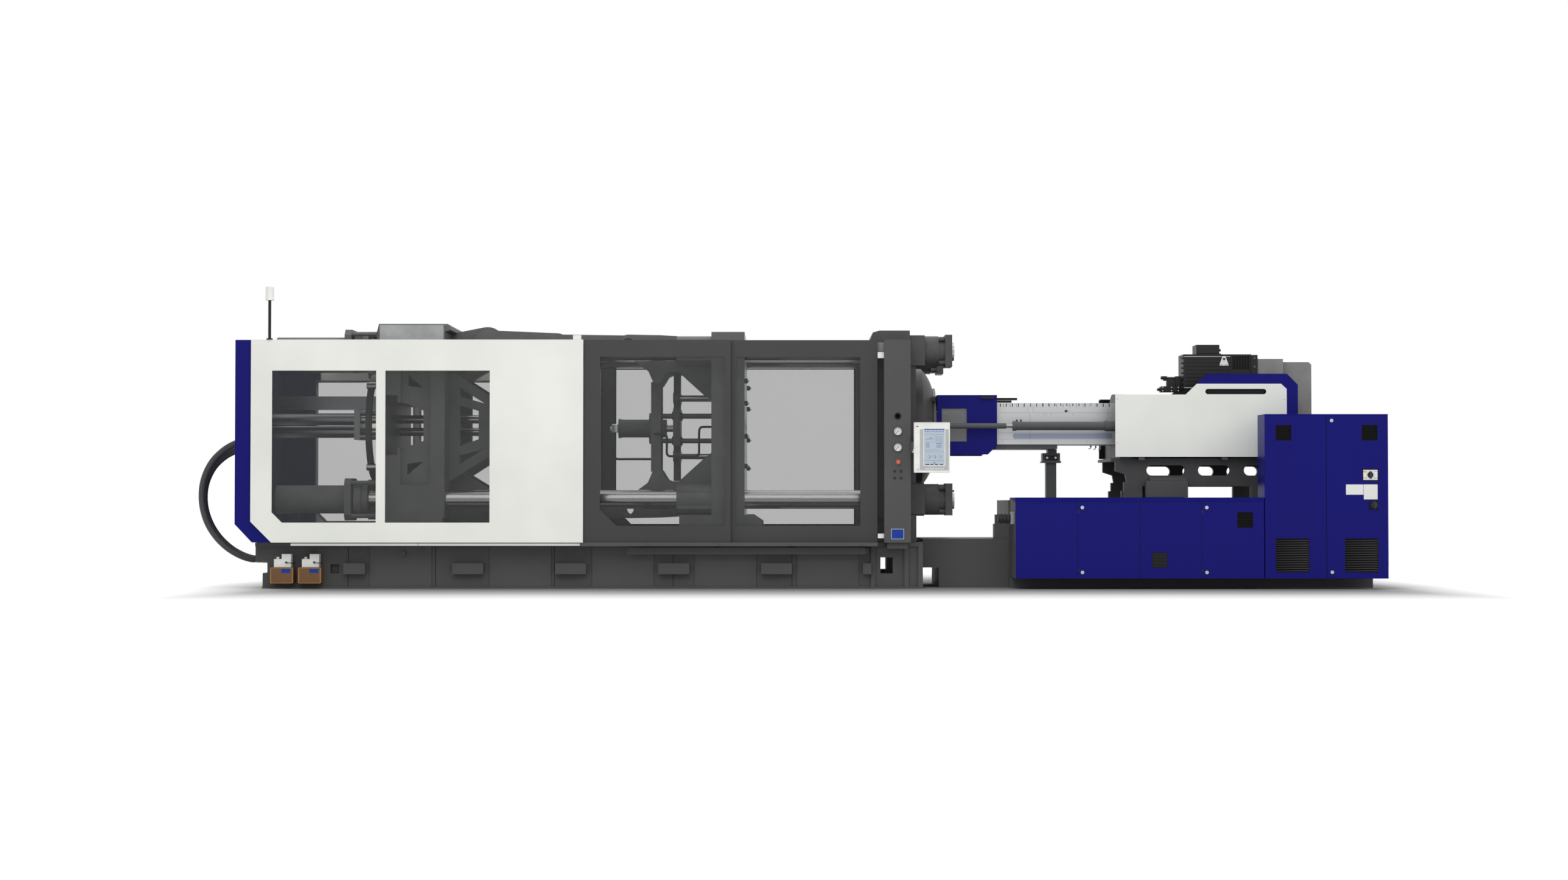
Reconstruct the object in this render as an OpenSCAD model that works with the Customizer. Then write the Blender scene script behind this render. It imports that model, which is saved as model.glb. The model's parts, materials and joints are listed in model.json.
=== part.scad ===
// Horizontal toggle injection moulding machine, clamp unit to the left and injection unit to the right.
// Origin: floor level under the mould face of the fixed platen, on the machine's centre plane.
// +X runs along the injection axis to the drive end, -Y is the operator side, +Z is up. Millimetres.

/* [Clamp unit] */
// Height of the clamping and injection axis above the floor
axis_z = 1632; // [1620:1:1650]
// Centre distance of the tie bars, the same across and up
bar_pitch = 1490; // [1460:5:1500]
// Diameter of a tie bar
bar_d = 190; // [150:5:200]
// Gap between the platens with the mould closed
die_gap = 1255; // [1150:5:1300]
// Thickness of the fixed platen's plate
fixed_t = 397; // [360:1:410]
// Thickness of the moving platen's plate
moving_t = 333; // [300:1:350]
// Half width of the moving and tail platens
platen_hw = 900; // [870:5:920]

/* [Toggle] */
// Length of every main link between its pins
link_l = 720; // [700:5:720]
// Height of the main pins above and below the axis
pin_h = 840; // [836:1:850]
// Diameter of the main pins
pin_d = 120; // [90:5:130]
// Distance from the rear pin to the cross link pin, and from that to the crosshead pin
cross_l = 420; // [410:2:420]
// Angle of the cross link pin below the main link
cross_a = 15; // [13:0.5:16]
// Diameter of the cross link pins
cross_d = 80; // [60:5:90]
// Diameter of a clamp cylinder's rod
clamp_rod_d = 86; // [60:2:96]

/* [Guarding] */
// Distance of the guard's outer face from the centre plane
guard_y = 1300; // [1290:5:1320]
// Lower edge of guards and gates above the floor
guard_z0 = 461; // [455:1:470]
// Upper edge of guards and gates
guard_z1 = 2464; // [2440:2:2480]
// Left edge of the white guard, from the origin
guard_x0 = -6120; // [-6140:5:-6100]
// Right edge of the white guard
guard_x1 = -2842; // [-2860:2:-2830]
// Thickness of a guard panel
panel_t = 30; // [20:1:30]
// Thickness of a window pane
pane_t = 8; // [6:1:10]

/* [Bed] */
// Height of the clamp bed's top flange
bed_z = 456; // [440:1:456]
// Half width of the clamp bed
bed_hw = 1000; // [960:10:1020]
// Left end of the clamp bed's upper flange
bed_x0 = -6126; // [-6140:2:-6110]
// Right end of the clamp bed
bed_x1 = 523; // [515:1:530]

/* [Injection unit] */
// Outer diameter of the barrel
barrel_d = 290; // [260:5:300]
// Diameter of the screw
screw_d = 110; // [90:5:120]
// Stroke of the injection carriage
carriage_stroke = 500; // [300:10:500]
// Height of the base that carries the injection unit
base_z = 905; // [895:1:915]
// Right end of the base
base_x1 = 5057; // [5000:5:5080]

/* [Cabinets] */
// Width of one low cabinet panel
low_w = 613; // [600:1:613]
// Height of the tall cabinet's top above the floor
tall_z = 1728; // [1650:2:1800]
// Width of the tall cabinet
tall_w = 1218; // [1180:2:1220]
// Number of louvre slats in each cabinet vent
slat_n = 14; // [8:1:16]

/* [Controls] */
// Width of the operator panel
hmi_w = 354; // [300:2:360]
// Height of the operator panel
hmi_h = 494; // [440:2:520]
// Diameter of a pressure gauge
gauge_d = 74; // [60:2:90]

/* [Hidden] */

$fn = 64;
// Gap at which a seated piece lies over the face that carries it
seat = 0.3;
// Radial clearance of a pin or shaft that runs in a bore
run = 0.05;
// Radial clearance of the platens on the tie bars
bar_gap = 0.5;

// Bars, at +-bar_o about the axis
bar_o = bar_pitch / 2;

// Faces and pins of the moving platen and the toggle
move_x = -die_gap;
move_back = move_x - moving_t;
front_pin_x = move_back - 862;
rear_pin_x = front_pin_x - 2 * link_l;
elbow_x = rear_pin_x + link_l;
cross_x = rear_pin_x + cross_l * cos(cross_a);
cross_z = cross_l * sin(cross_a);
head_x = rear_pin_x + 2 * cross_l * cos(cross_a);

// Layers across the machine: crosshead in the middle, cross links, then forks round the tongues
head_hw = 120;
cross_y0 = 126;
cross_y1 = 184;
fork_in0 = 190;
fork_in1 = 262;
tongue_y0 = 268;
tongue_y1 = 372;
fork_out0 = 378;
fork_out1 = 450;

// Tail platen
tail_x1 = rear_pin_x - 370;
tail_x0 = tail_x1 - 680;
tail_top = axis_z + 1014;
tail_bot = axis_z - 930;

// Colours
c_white = "#EAECE6";
c_blue = "#1C1B72";
c_lid = "#222C8C";
c_gate = "#474747";
c_gate2 = "#404040";
c_bed = "#4A4A4A";
c_cast = "#484848";
c_chrome = "#C8C8C6";
c_silver = "#D0D0D0";
c_dark = "#242424";
c_glass = "#B4B8BC";
c_amber = "#7A5A2E";
c_case = "#6A6A68";

// A block between two corners
module block(a, b) {
  translate(a) cube([b[0] - a[0], b[1] - a[1], b[2] - a[2]]);
}

// The children and their mirror image across the centre plane
module both_sides() {
  children();
  mirror([0, 1, 0]) children();
}

// An outline in X and Z, extruded from y0 to y1
module slab(y0, y1) {
  translate([0, y1, 0]) rotate([90, 0, 0]) linear_extrude(y1 - y0) children();
}

// A rod along X, along Y or along Z between two ends
module rod_x(x0, x1, d, y = 0, z = 0) {
  translate([x0, y, z]) rotate([0, 90, 0]) cylinder(d = d, h = x1 - x0);
}
module rod_y(y0, y1, d, x = 0, z = 0) {
  translate([x, y1, z]) rotate([90, 0, 0]) cylinder(d = d, h = y1 - y0);
}
module rod_z(z0, z1, d, x = 0, y = 0) {
  translate([x, y, z0]) cylinder(d = d, h = z1 - z0);
}

// The children at the four tie bars
module at_bars() {
  for (sy = [-1, 1], sz = [-1, 1]) translate([0, sy * bar_o, axis_z + sz * bar_o]) children();
}

// A rectangle from corner a to corner b with a 45 degree cut of c at its lower left
module cut_rect(a, b, c) {
  polygon([[a[0] + c, a[1]], [b[0], a[1]], b, [a[0], b[1]], [a[0], a[1] + c]]);
}

// A rectangle with round corners of radius r
module round_rect(a, b, r) {
  union() {
    translate([a[0] + r, a[1]]) square([b[0] - a[0] - 2 * r, b[1] - a[1]]);
    translate([a[0], a[1] + r]) square([b[0] - a[0], b[1] - a[1] - 2 * r]);
    for (x = [a[0] + r, b[0] - r], z = [a[1] + r, b[1] - r]) translate([x, z]) circle(r);
  }
}

// The four points where two circles share their outer tangents
function tangents(p, r, q, s) =
  let (dx = q[0] - p[0], dz = q[1] - p[1], a = atan2(dz, dx), f = acos((r - s) / norm([dx, dz])))
  [[p[0] + r * cos(a + f), p[1] + r * sin(a + f)], [p[0] + r * cos(a - f), p[1] + r * sin(a - f)],
   [q[0] + s * cos(a - f), q[1] + s * sin(a - f)], [q[0] + s * cos(a + f), q[1] + s * sin(a + f)]];

// A link outline: two round eyes joined along their tangents
module link_shape(p, r, q, s) {
  union() {
    translate(p) circle(r);
    translate(q) circle(s);
    polygon(tangents(p, r, q, s));
  }
}

// Bed, platens and bars that stand still

// Welded bed of the clamp unit: two box beams with raised panels, cross members and slide ways
panel_x = [-4983, -3791, -2770, -1749, -729];
bracket_x = [[-5237, -5022], [-4155, -3848], [-3132, -2825], [-2109, -1800], [-1087, -781], [-75, 6]];
beam_w = 340;
skin = 12;
cross_member_x = [-5900, -4700, -3500, -2300, -1150, -160];
way_x0 = -5300;
module clamp_bed() color(c_bed) {
  both_sides() {
    difference() {
      slab(-bed_hw, -bed_hw + beam_w)
        polygon([[bed_x0, 263], [-6008, 263], [-6008, 154], [-6055, 154], [-6055, 0], [bed_x1, 0],
          [bed_x1, bed_z], [bed_x0, bed_z]]);
      // Square opening by the lubricators and the slots and window of the end block
      block([-5378, -bed_hw - 1, 150], [-5292, -bed_hw + 60, 240]);
      block([101, -bed_hw - 1, 148], [224, -bed_hw + beam_w + 1, 309]);
      for (x = [22, 350, 490]) block([x, -bed_hw - 1, 254], [x + 20, -bed_hw + 14, 314]);
      for (x = [-5980, -3000, 440]) rod_z(-1, 40, 36, x, -bed_hw + beam_w / 2);
    }
    for (x = panel_x) block([x, -bed_hw - skin, 17], [x + 612, -bed_hw, 419]);
    for (b = bracket_x) block([b[0], -bed_hw - 90, 144], [b[1], -bed_hw, 252]);
    block([bed_x0, -bed_hw - 22, 419], [bed_x1, -bed_hw, bed_z]);
    block([-6055, -bed_hw - 22, 0], [bed_x1, -bed_hw, 17]);
    rod_y(-bed_hw - 60, -bed_hw, 54, -4650, 347);
    // Flanges of the end block
    for (x = [[6, 48], [338, 381], [476, bed_x1]]) block([x[0], -bed_hw - 22, 17], [x[1], -bed_hw, 419]);
  }
  inner_y = bed_hw - beam_w - seat;
  for (x = cross_member_x) block([x, -inner_y, 0], [x + 260, inner_y, 330]);
  block([-6055, -inner_y, 60], [-6030, inner_y, bed_z - 40]);
  // Floor sole under the origin
  block([-160, -inner_y, 0], [460, inner_y, 60]);
  // Slide ways for the moving and the tail platen
  both_sides() block([way_x0, -bed_hw + 60, bed_z], [-40, -bed_hw + beam_w - 40, bed_z + 62]);
}

// Fixed platen: plate, bar bosses, feet, dished back and the conical nozzle opening
boss_r = 155;
boss_x = 549;
platen_top = axis_z + 941;
nozzle_r = 200;
locate_r = 125;
locate_depth = 30;
t_slot_r = 21;
hole_pitch = 700;
rod_boss_x = 640;
rail_pad_x = 688;
module dished_back(t) {
  // Revolved about the injection axis: rim, convex dish and throat
  rotate([0, 90, 0]) rotate_extrude($fn = 96) difference() {
    union() {
      square([606, fixed_t + 35]);
      translate([0, fixed_t + 35]) intersection() {
        translate([300, -180]) circle(430);
        square([606, 300]);
      }
    }
    square([nozzle_r + 60, 900]);
    translate([0, -1]) square([700, fixed_t + 1]);
  }
}
// Hardened bush of the locating ring, a piece of its own in the platen's centre
bush_r = 190;
bush_t = 120;
module centring_bush() difference() {
  rod_x(0, bush_t, 2 * bush_r, 0, axis_z);
  rod_x(-1, locate_depth, 2 * locate_r, 0, axis_z);
  rod_x(locate_depth - 1, bush_t + 1, 190, 0, axis_z);
}
module fixed_platen() color(c_cast) {
  centring_bush();
  difference() {
    union() {
      slab(-bed_hw, bed_hw)
        polygon([[0, axis_z - 896], [60, axis_z - 941], [fixed_t, axis_z - 941], [fixed_t, platen_top],
          [93, platen_top], [27, platen_top - 19], [0, platen_top - 95]]);
      translate([0, 0, axis_z]) dished_back(fixed_t);
      for (sy = [-1, 1], sz = [-1, 1]) {
        translate([0, sy * bar_o, axis_z + sz * bar_o]) rod_x(fixed_t - 1, boss_x, 2 * boss_r + 20);
        block([fixed_t - 1, sy > 0 ? bar_o : -bed_hw + 40, axis_z + sz * bar_o - 150],
          [boss_x, sy > 0 ? bed_hw - 40 : -bar_o, axis_z + sz * bar_o + 150]);
        block([fixed_t - 1, sy > 0 ? 560 : -700, sz > 0 ? axis_z + 640 : axis_z - 900],
          [boss_x - 60, sy > 0 ? 700 : -560, sz > 0 ? axis_z + 900 : axis_z - 640]);
      }
      // Seats of the carriage rods and of the nozzle guard's rails
      both_sides() {
        rod_x(fixed_t - 1, rod_boss_x, 110, -rod_off_y, axis_z + 1);
        block([fixed_t + 60, -guard_rail_y - 30, guard_rail_z - 12], [rail_pad_x, -guard_rail_y + 30,
          guard_rail_z + 36]);
      }
      // Ribs from the dish to the bosses and the feet on the bed
      for (sy = [-1, 1]) {
        block([fixed_t - 1, sy > 0 ? 870 : -930, axis_z - 600], [460, sy > 0 ? 930 : -870, axis_z + 600]);
        block([20, sy > 0 ? 560 : -980, bed_z + seat], [461, sy > 0 ? 980 : -560, axis_z - 900]);
      }
    }
    at_bars() rod_x(-1, boss_x + 1, bar_d);
    both_sides() rod_x(rod_boss_x - 40, rod_boss_x + 1, 24, -rod_off_y, axis_z + 1);
    // Pocket of the centring bush, throat and cone
    rod_x(-1, bush_t + seat, 2 * (bush_r + seat), 0, axis_z);
    rod_x(bush_t, 140, 190, 0, axis_z);
    translate([139, 0, axis_z]) rotate([0, 90, 0]) cylinder(r1 = 150, r2 = nozzle_r + 60, h = 320);
    // Mould clamping holes in rows on the face
    for (y = [-2, -1, 1, 2], z = [-500, 0, 500])
      rod_x(-1, 60, 2 * t_slot_r, y * hole_pitch / 2, axis_z + z);
  }
}

// Tie bars, chromed, threaded at both ends
bar_x0 = tail_x0 - 300;
module tie_bars() color(c_chrome) at_bars() {
  rod_x(bar_x0, 850, bar_d - 2 * 0.01);
}

// Nut of each tie bar at the fixed platen: sleeve, neck and square end plate
module tie_bar_nuts() color(c_cast) at_bars() difference() {
  union() {
    rod_x(boss_x + seat, 694, 2 * boss_r);
    rod_x(690, 758, 290);
    translate([756, -boss_r - 5, -boss_r - 5]) cube([70, 2 * boss_r + 10, 2 * boss_r + 10]);
    for (sy = [-1, 1], sz = [-1, 1]) rod_x(694, 756, 46, sy * 118, sz * 118);
  }
  rod_x(boss_x - 1, 860, bar_d + 0.2);
}

// Carriage rods screwed to the fixed platen, and the two rails of the nozzle guard
rod_off_y = 560;
sleeve_d = 56;
piston_d = 36;
guard_rail_y = 330;
guard_rail_z = axis_z + 270;
module carriage_rods() {
  color(c_chrome) both_sides() {
    rod_x(rod_boss_x + seat, 1395, sleeve_d, -rod_off_y, axis_z + 1);
    rod_x(1395, cyl_x0 + carriage_stroke + 390, piston_d, -rod_off_y, axis_z + 1);
  }
  color(c_dark) both_sides() block([rail_pad_x + seat, -guard_rail_y - 12, guard_rail_z],
    [1525, -guard_rail_y + 12, guard_rail_z + 24]);
}

// Toggle side: everything that moves with the tail platen

clamp_rod_y = 75;
clamp_rod_z = [axis_z + 82, axis_z - 43];
clamp_tube_d = 126;
clamp_x1 = tail_x0 - 285;
clamp_x0 = clamp_x1 - 942;
ear_r = 178;
brace_y0 = 480;
brace_y1 = 560;

// The two clamp rods, one high on the near side and one low on the far side
module at_rods() {
  translate([0, -clamp_rod_y, clamp_rod_z[0]]) children();
  translate([0, clamp_rod_y, clamp_rod_z[1]]) children();
}

// Upper and lower half of what is symmetric about the axis
module both_heights() {
  translate([0, 0, axis_z]) {
    children();
    mirror([0, 0, 1]) children();
  }
}

// Tail platen: ribbed casting with windows through its sides, pin ears and braces
module tail_platen() color(c_cast) difference() {
  union() {
    slab(-platen_hw, platen_hw)
      polygon([[tail_x0, tail_bot + 60], [tail_x0 + 60, tail_bot], [tail_x1, tail_bot],
        [tail_x1, tail_top - 76], [tail_x1 + 56, tail_top - 60], [tail_x1 + 56, tail_top - 20],
        [tail_x1 + 30, tail_top], [tail_x0 + 20, tail_top], [tail_x0, tail_top - 76]]);
    // Pads that slide on the bed's ways
    both_sides() block([tail_x0 + 70, -bed_hw + 70, bed_z + 62 + seat], [tail_x1 - 20,
      -bed_hw + beam_w - 50, tail_bot + 1]);
    both_heights() both_sides() slab(-tongue_y1, -tongue_y0)
      link_shape([rear_pin_x, pin_h], ear_r, [tail_x1 - 120, pin_h - 190], 270);
    // Tapered braces on both sides that carry the guide bushes of the rods
    both_sides() translate([0, 0, axis_z]) slab(-brace_y1, -brace_y0) difference() {
      polygon([[tail_x1 + seat, 557], [tail_x1 + 22, 557], [tail_x1 + 426, 297], [tail_x1 + 690, 130],
        [tail_x1 + 690, -130], [tail_x1 + 426, -297], [tail_x1 + 22, -557], [tail_x1 + seat, -557]]);
      polygon([[tail_x1 + 110, 211], [tail_x1 + 302, 153], [tail_x1 + 302, -135], [tail_x1 + 110, -202]]);
      polygon([[tail_x1 + 110, 390], [tail_x1 + 360, 230], [tail_x1 + 110, 300]]);
      polygon([[tail_x1 + 110, -390], [tail_x1 + 360, -230], [tail_x1 + 110, -300]]);
    }
    // Back rib and centre boss round the rods
    rod_x(tail_x0 - 66, tail_x0 + 1, 480, 0, axis_z + 20);
  }
  at_bars() rod_x(tail_x0 - 2, tail_x1 + 60, bar_d + 2 * bar_gap);
  at_rods() rod_x(tail_x0 - 70, tail_x1 + 2, clamp_rod_d + 2 * run);
  both_heights() both_sides() rod_y(-tongue_y1 - 1, -tongue_y0 + 1, pin_d, rear_pin_x, pin_h);
  // Windows through the casting
  translate([0, 0, axis_z]) slab(-platen_hw - 1, platen_hw + 1) {
    polygon([[tail_x1 - 590, 236], [tail_x1 - 400, 222], [tail_x1 - 218, 146], [tail_x1 - 217, -159],
      [tail_x1 - 400, -222], [tail_x1 - 590, -236]]);
    polygon([[tail_x1 - 371, 508], [tail_x1 - 222, 375], [tail_x1 - 371, 395]]);
    polygon([[tail_x1 - 378, -502], [tail_x1 - 219, -368], [tail_x1 - 378, -388]]);
  }
  // Pockets in the two side walls and in the back
  translate([0, 0, axis_z]) for (s = [-1, 1]) {
    slab(s > 0 ? 640 : -platen_hw - 1, s > 0 ? platen_hw + 1 : -640)
      polygon([[tail_x1 - 590, 299], [tail_x1 - 470, 299], [tail_x1 - 470, -302], [tail_x1 - 590, -302]]);
    slab(s > 0 ? 850 : -platen_hw - 1, s > 0 ? platen_hw + 1 : -850)
      polygon([[tail_x1 - 440, 600], [tail_x1 - 143, 600], [tail_x1 - 143, -600], [tail_x1 - 440, -600]]);
    block([tail_x0 - 1, s > 0 ? 290 : -600, 300], [tail_x0 + 420, s > 0 ? 600 : -290, 640]);
    block([tail_x0 - 1, s > 0 ? 290 : -600, -640], [tail_x0 + 420, s > 0 ? 600 : -290, -300]);
  }
}

// Twin clamp cylinders with their foot flange and the beam above them
module clamp_cylinders() color(c_cast) {
  difference() {
    union() {
      at_rods() rod_x(clamp_x0, clamp_x1, clamp_tube_d);
      block([clamp_x1 - 60, -170, axis_z - 130], [clamp_x1, 170, axis_z + 180]);
      for (y = [-150, 150], z = [-100, 150]) rod_x(clamp_x1 - 1, tail_x0 - 66 - seat, 46, y, axis_z + z);
      block([clamp_x0, -60, axis_z + 182 + seat], [tail_x0 - 66 - seat, 60, axis_z + 321]);
      block([clamp_x1 - 60, -60, axis_z + 179], [clamp_x1, 60, axis_z + 184]);
    }
    at_rods() rod_x(clamp_x0 + 30, clamp_x1 + 1, clamp_rod_d + 2 * run);
  }
}

// Each tie bar's cover tube, stud flange and adjusting nut, and the die height motor
module bar_adjusters() color(c_cast) {
  at_bars() {
    difference() {
      union() {
        rod_x(tail_x0 - 1019, tail_x0 - 313, 284);
        difference() {
          translate([tail_x0 - 315, -211, -211]) cube([67, 422, 422]);
          for (a = [45:90:315]) rotate([a, 0, 0]) translate([tail_x0 - 320, 260, -60]) cube([80, 200, 120]);
        }
        for (sy = [-1, 1], sz = [-1, 1]) rod_x(tail_x0 - 249, tail_x0 - seat, 44, sy * 166, sz * 166);
      }
      rod_x(tail_x0 - 1000, tail_x0 - 240, bar_d + 30);
    }
    difference() {
      union() {
        rod_x(tail_x0 - 228, tail_x0 - 160, 379);
        rod_x(tail_x0 - 162, tail_x0 - 96, 330);
      }
      rod_x(tail_x0 - 240, tail_x0 - 90, bar_d + 2 * bar_gap);
    }
  }
  // Motor on the back of the tail platen
  translate([0, -500, tail_top - 150]) {
    rod_x(tail_x0 - 79, tail_x0 - seat, 170);
    rod_x(tail_x0 - 210, tail_x0 - 78, 60);
    rod_x(tail_x0 - 284, tail_x0 - 208, 146);
  }
}

// Main link of the rear pair: two forged forks, one on each side, with the lugs of the cross links
fork_r = 140;
elbow_r = 110;
lug_r = 78;
module rear_link() {
  pivot = [rear_pin_x, pin_h];
  elbow = [elbow_x, pin_h];
  lug = [cross_x, pin_h - cross_z];
  both_sides() difference() {
    union() {
      for (y = [[fork_in0, fork_in1], [fork_out0, fork_out1]])
        slab(-y[1], -y[0]) link_shape(pivot, fork_r, elbow, elbow_r);
      slab(-fork_in1, -fork_in0) translate(lug) circle(lug_r);
      block([rear_pin_x + 245, -fork_out0 - 1, pin_h - 75], [rear_pin_x + 430, -fork_in1 + 1, pin_h + 75]);
    }
    for (p = [pivot, elbow]) rod_y(-fork_out1 - 1, -fork_in0 + 1, pin_d, p[0], p[1]);
    rod_y(-fork_in1 - 1, -fork_in0 + 1, cross_d, lug[0], lug[1]);
  }
  // Pins held in the forks
  both_sides() {
    for (p = [pivot, elbow]) rod_y(-fork_out1 - 12, -fork_in0, pin_d - 2 * run, p[0], p[1]);
    rod_y(-fork_in1, -cross_y0, cross_d - 2 * run, lug[0], lug[1]);
  }
}

// Main link of the front pair: one plate a side, its eyes in the forks
module front_link() {
  elbow = [elbow_x, pin_h];
  pivot = [front_pin_x, pin_h];
  both_sides() difference() {
    slab(-tongue_y1, -tongue_y0) link_shape(elbow, elbow_r - 8, pivot, 92);
    for (p = [elbow, pivot]) rod_y(-tongue_y1 - 1, -tongue_y0 + 1, pin_d, p[0], p[1]);
  }
}

// Cross link: two plates and the pin that carries them on the crosshead
module cross_link() {
  lug = [cross_x, pin_h - cross_z];
  head = [head_x, pin_h];
  both_sides() difference() {
    slab(-cross_y1, -cross_y0) link_shape(lug, 66, head, 66);
    rod_y(-cross_y1 - 1, -cross_y0 + 1, cross_d, lug[0], lug[1]);
    rod_y(-cross_y1 - 1, -cross_y0 + 1, cross_d, head[0], head[1]);
  }
  rod_y(-cross_y1, cross_y1, cross_d - 2 * run, head[0], head[1]);
}

module upper_half() { translate([0, 0, axis_z]) children(); }
module lower_half() { translate([0, 0, axis_z]) mirror([0, 0, 1]) children(); }
module upper_rear_link() color(c_cast) upper_half() rear_link();
module lower_rear_link() color(c_cast) lower_half() rear_link();
module upper_front_link() color(c_cast) upper_half() front_link();
module lower_front_link() color(c_cast) lower_half() front_link();
module upper_cross_link() color(c_cast) upper_half() cross_link();
module lower_cross_link() color(c_cast) lower_half() cross_link();

// Crosshead: tall I-shaped casting with an eye at each end, pushed by the two rods
module crosshead() {
  color(c_cast) difference() {
    union() {
      both_heights() slab(-head_hw, head_hw) {
        translate([head_x, pin_h]) circle(80);
        polygon([[head_x - 70, -1], [head_x + 70, -1], [head_x + 50, 300], [head_x + 50, pin_h - 200],
          [head_x + 78, pin_h - 20], [head_x - 78, pin_h - 20], [head_x - 50, pin_h - 200],
          [head_x - 50, 300]]);
      }
    }
    both_heights() {
      rod_y(-head_hw - 1, head_hw + 1, cross_d, head_x, pin_h);
      // Lightening pockets on both faces of the web
      both_sides() block([head_x - 30, -head_hw - 1, 160], [head_x + 30, -25, pin_h - 180]);
    }
  }
  color(c_chrome) at_rods() rod_x(clamp_x1 - 175, head_x - 50, clamp_rod_d);
}

// Moving platen, ejector and gates

flange_x = front_pin_x + 226;
ejector_d = 186;
ejector_z = axis_z - 10;
guide_y = 150;
guide_z = 128;
push_bar_d = 44;

// Moving platen: plate, bar bosses, pin forks, cross plate for the ejector cylinder and skids
module moving_platen() color(c_cast) difference() {
  union() {
    difference() {
      slab(-platen_hw, platen_hw)
        polygon([[move_back, axis_z - 896], [move_back + 30, axis_z - 930], [move_x, axis_z - 930],
          [move_x, axis_z + 934], [move_back, axis_z + 934]]);
      for (s = [-1, 1]) rod_x(move_back - 1, move_x + 1, 120, s * 560, axis_z);
    }
    for (sy = [-1, 1], sz = [-1, 1]) {
      translate([0, sy * bar_o, axis_z + sz * bar_o]) rod_x(move_back - 350, move_back - seat, 2 * boss_r);
      block([move_back - 350, sy > 0 ? bar_o - boss_r : -platen_hw + 14, axis_z + sz * bar_o - boss_r + 60],
        [move_back - seat, sy > 0 ? platen_hw - 14 : -bar_o + boss_r, axis_z + sz * bar_o + boss_r - 60]);
    }
    // Forks for the front pins, tied by the ribbed arms to the plate
    both_heights() both_sides() for (y = [[fork_in0, fork_in1], [fork_out0, fork_out1]])
      slab(-y[1], -y[0]) {
        link_shape([front_pin_x, pin_h], 96, [front_pin_x + 330, pin_h - 110], 200);
        polygon([[front_pin_x + 200, pin_h - 260], [front_pin_x + 260, 440], [front_pin_x + 326, 440],
          [front_pin_x + 400, 560], [front_pin_x + 520, 560], [move_back - 85, 327],
          [move_back - seat, 260], [move_back - seat, pin_h + 60], [front_pin_x + 330, pin_h + 90]]);
      }
    both_heights() block([front_pin_x + 430, -fork_out1, 640], [move_back - seat, fork_out1, pin_h - 20]);
    // Cross plate, hollowed round the ejector, with flared ends
    both_sides() slab(-fork_in1, -fork_in0) translate([0, axis_z])
      block2([front_pin_x + 226, -460], [front_pin_x + 325, 460]);
    block([flange_x, -fork_in0 - 1, axis_z - 230], [flange_x + 60, fork_in0 + 1, axis_z + 230]);
    // Skids on the bed's ways
    both_sides() {
      block([move_back - 320, -bed_hw + 70, bed_z + 62 + seat], [move_x + 5, -bed_hw + beam_w - 50,
        axis_z - bar_o - boss_r - 1]);
      slab(-bed_hw + 90, -bed_hw + 250) polygon([[move_x - 1, bed_z + 62 + seat], [move_x + 176,
        bed_z + 62 + seat],
        [move_x + 176, axis_z - 968], [move_x + 75, axis_z - 899], [move_x - 1, axis_z - 899]]);
    }
  }
  at_bars() rod_x(move_back - 360, move_x + 1, bar_d + 2 * bar_gap);
  both_heights() both_sides() rod_y(-fork_out1 - 1, -fork_in0 + 1, pin_d, front_pin_x, pin_h);
  // Ejector cylinder seat, guide rods and push bar holes
  rod_x(flange_x - 1, flange_x + 70, ejector_d + 0.4, 0, ejector_z);
  for (y = [-guide_y, guide_y], z = [-guide_z, guide_z]) rod_x(move_back - 1, move_back + 60, push_bar_d,
    y, ejector_z + z);
  for (y = [-200, 0, 200], z = [-300, 0, 300]) rod_x(move_back - 100, move_x + 1, 56, y, axis_z + z);
  rod_x(move_x - locate_depth, move_x + 1, 2 * locate_r, 0, axis_z);
  for (y = [-2, -1, 1, 2], z = [-500, 0, 500])
    rod_x(move_x - 60, move_x + 1, 2 * t_slot_r, y * hole_pitch / 2, axis_z + z);
}

// A rectangle between two corners
module block2(a, b) {
  translate(a) square([b[0] - a[0], b[1] - a[1]]);
}

// Ejector cylinder with its flange, end cap and guide rods
module ejector_cylinder() {
  color(c_cast) difference() {
    union() {
      rod_x(flange_x - 320, flange_x + 150, ejector_d, 0, ejector_z);
      rod_x(flange_x - 28, flange_x - seat, 320, 0, ejector_z);
      rod_x(flange_x - 348, flange_x - 318, ejector_d + 14, 0, ejector_z);
    }
    rod_x(flange_x - 250, flange_x + 151, 70 + 2 * run, 0, ejector_z);
  }
  color(c_chrome) for (y = [-guide_y, guide_y], z = [-guide_z, guide_z])
    rod_x(flange_x + 60 + seat, move_back + 60, push_bar_d - 2 * run, y, ejector_z + z);
}

// Ejector plate: cross-shaped plate on the four guide rods, with its rod and the push bars
plate_x = flange_x + 225;
module ejector_plate() {
  color(c_cast) difference() {
    union() {
      block([plate_x, -90, axis_z - 553], [plate_x + 70, 90, axis_z + 553]);
      block([plate_x, -250, axis_z - 190], [plate_x + 70, 250, axis_z + 190]);
      for (y = [-200, 200], z = [-300, 300]) rod_x(plate_x, plate_x + 70, 110, y, axis_z + z);
      for (s = [-1, 1]) block([plate_x, -200, axis_z + s * 300 - 50], [plate_x + 70, 200,
        axis_z + s * 300 + 50]);
      for (y = [-guide_y, guide_y], z = [-guide_z, guide_z])
        rod_x(plate_x - 14, plate_x + 84, 84, y, ejector_z + z);
    }
    for (y = [-guide_y, guide_y], z = [-guide_z, guide_z])
      rod_x(plate_x - 20, plate_x + 90, push_bar_d, y, ejector_z + z);
  }
  color(c_chrome) {
    rod_x(flange_x - 150, plate_x + 1, 70, 0, ejector_z);
    for (y = [-200, 200], z = [-300, 300]) rod_x(plate_x + 69, move_x - 40, 50, y, axis_z + z);
  }
}

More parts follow.
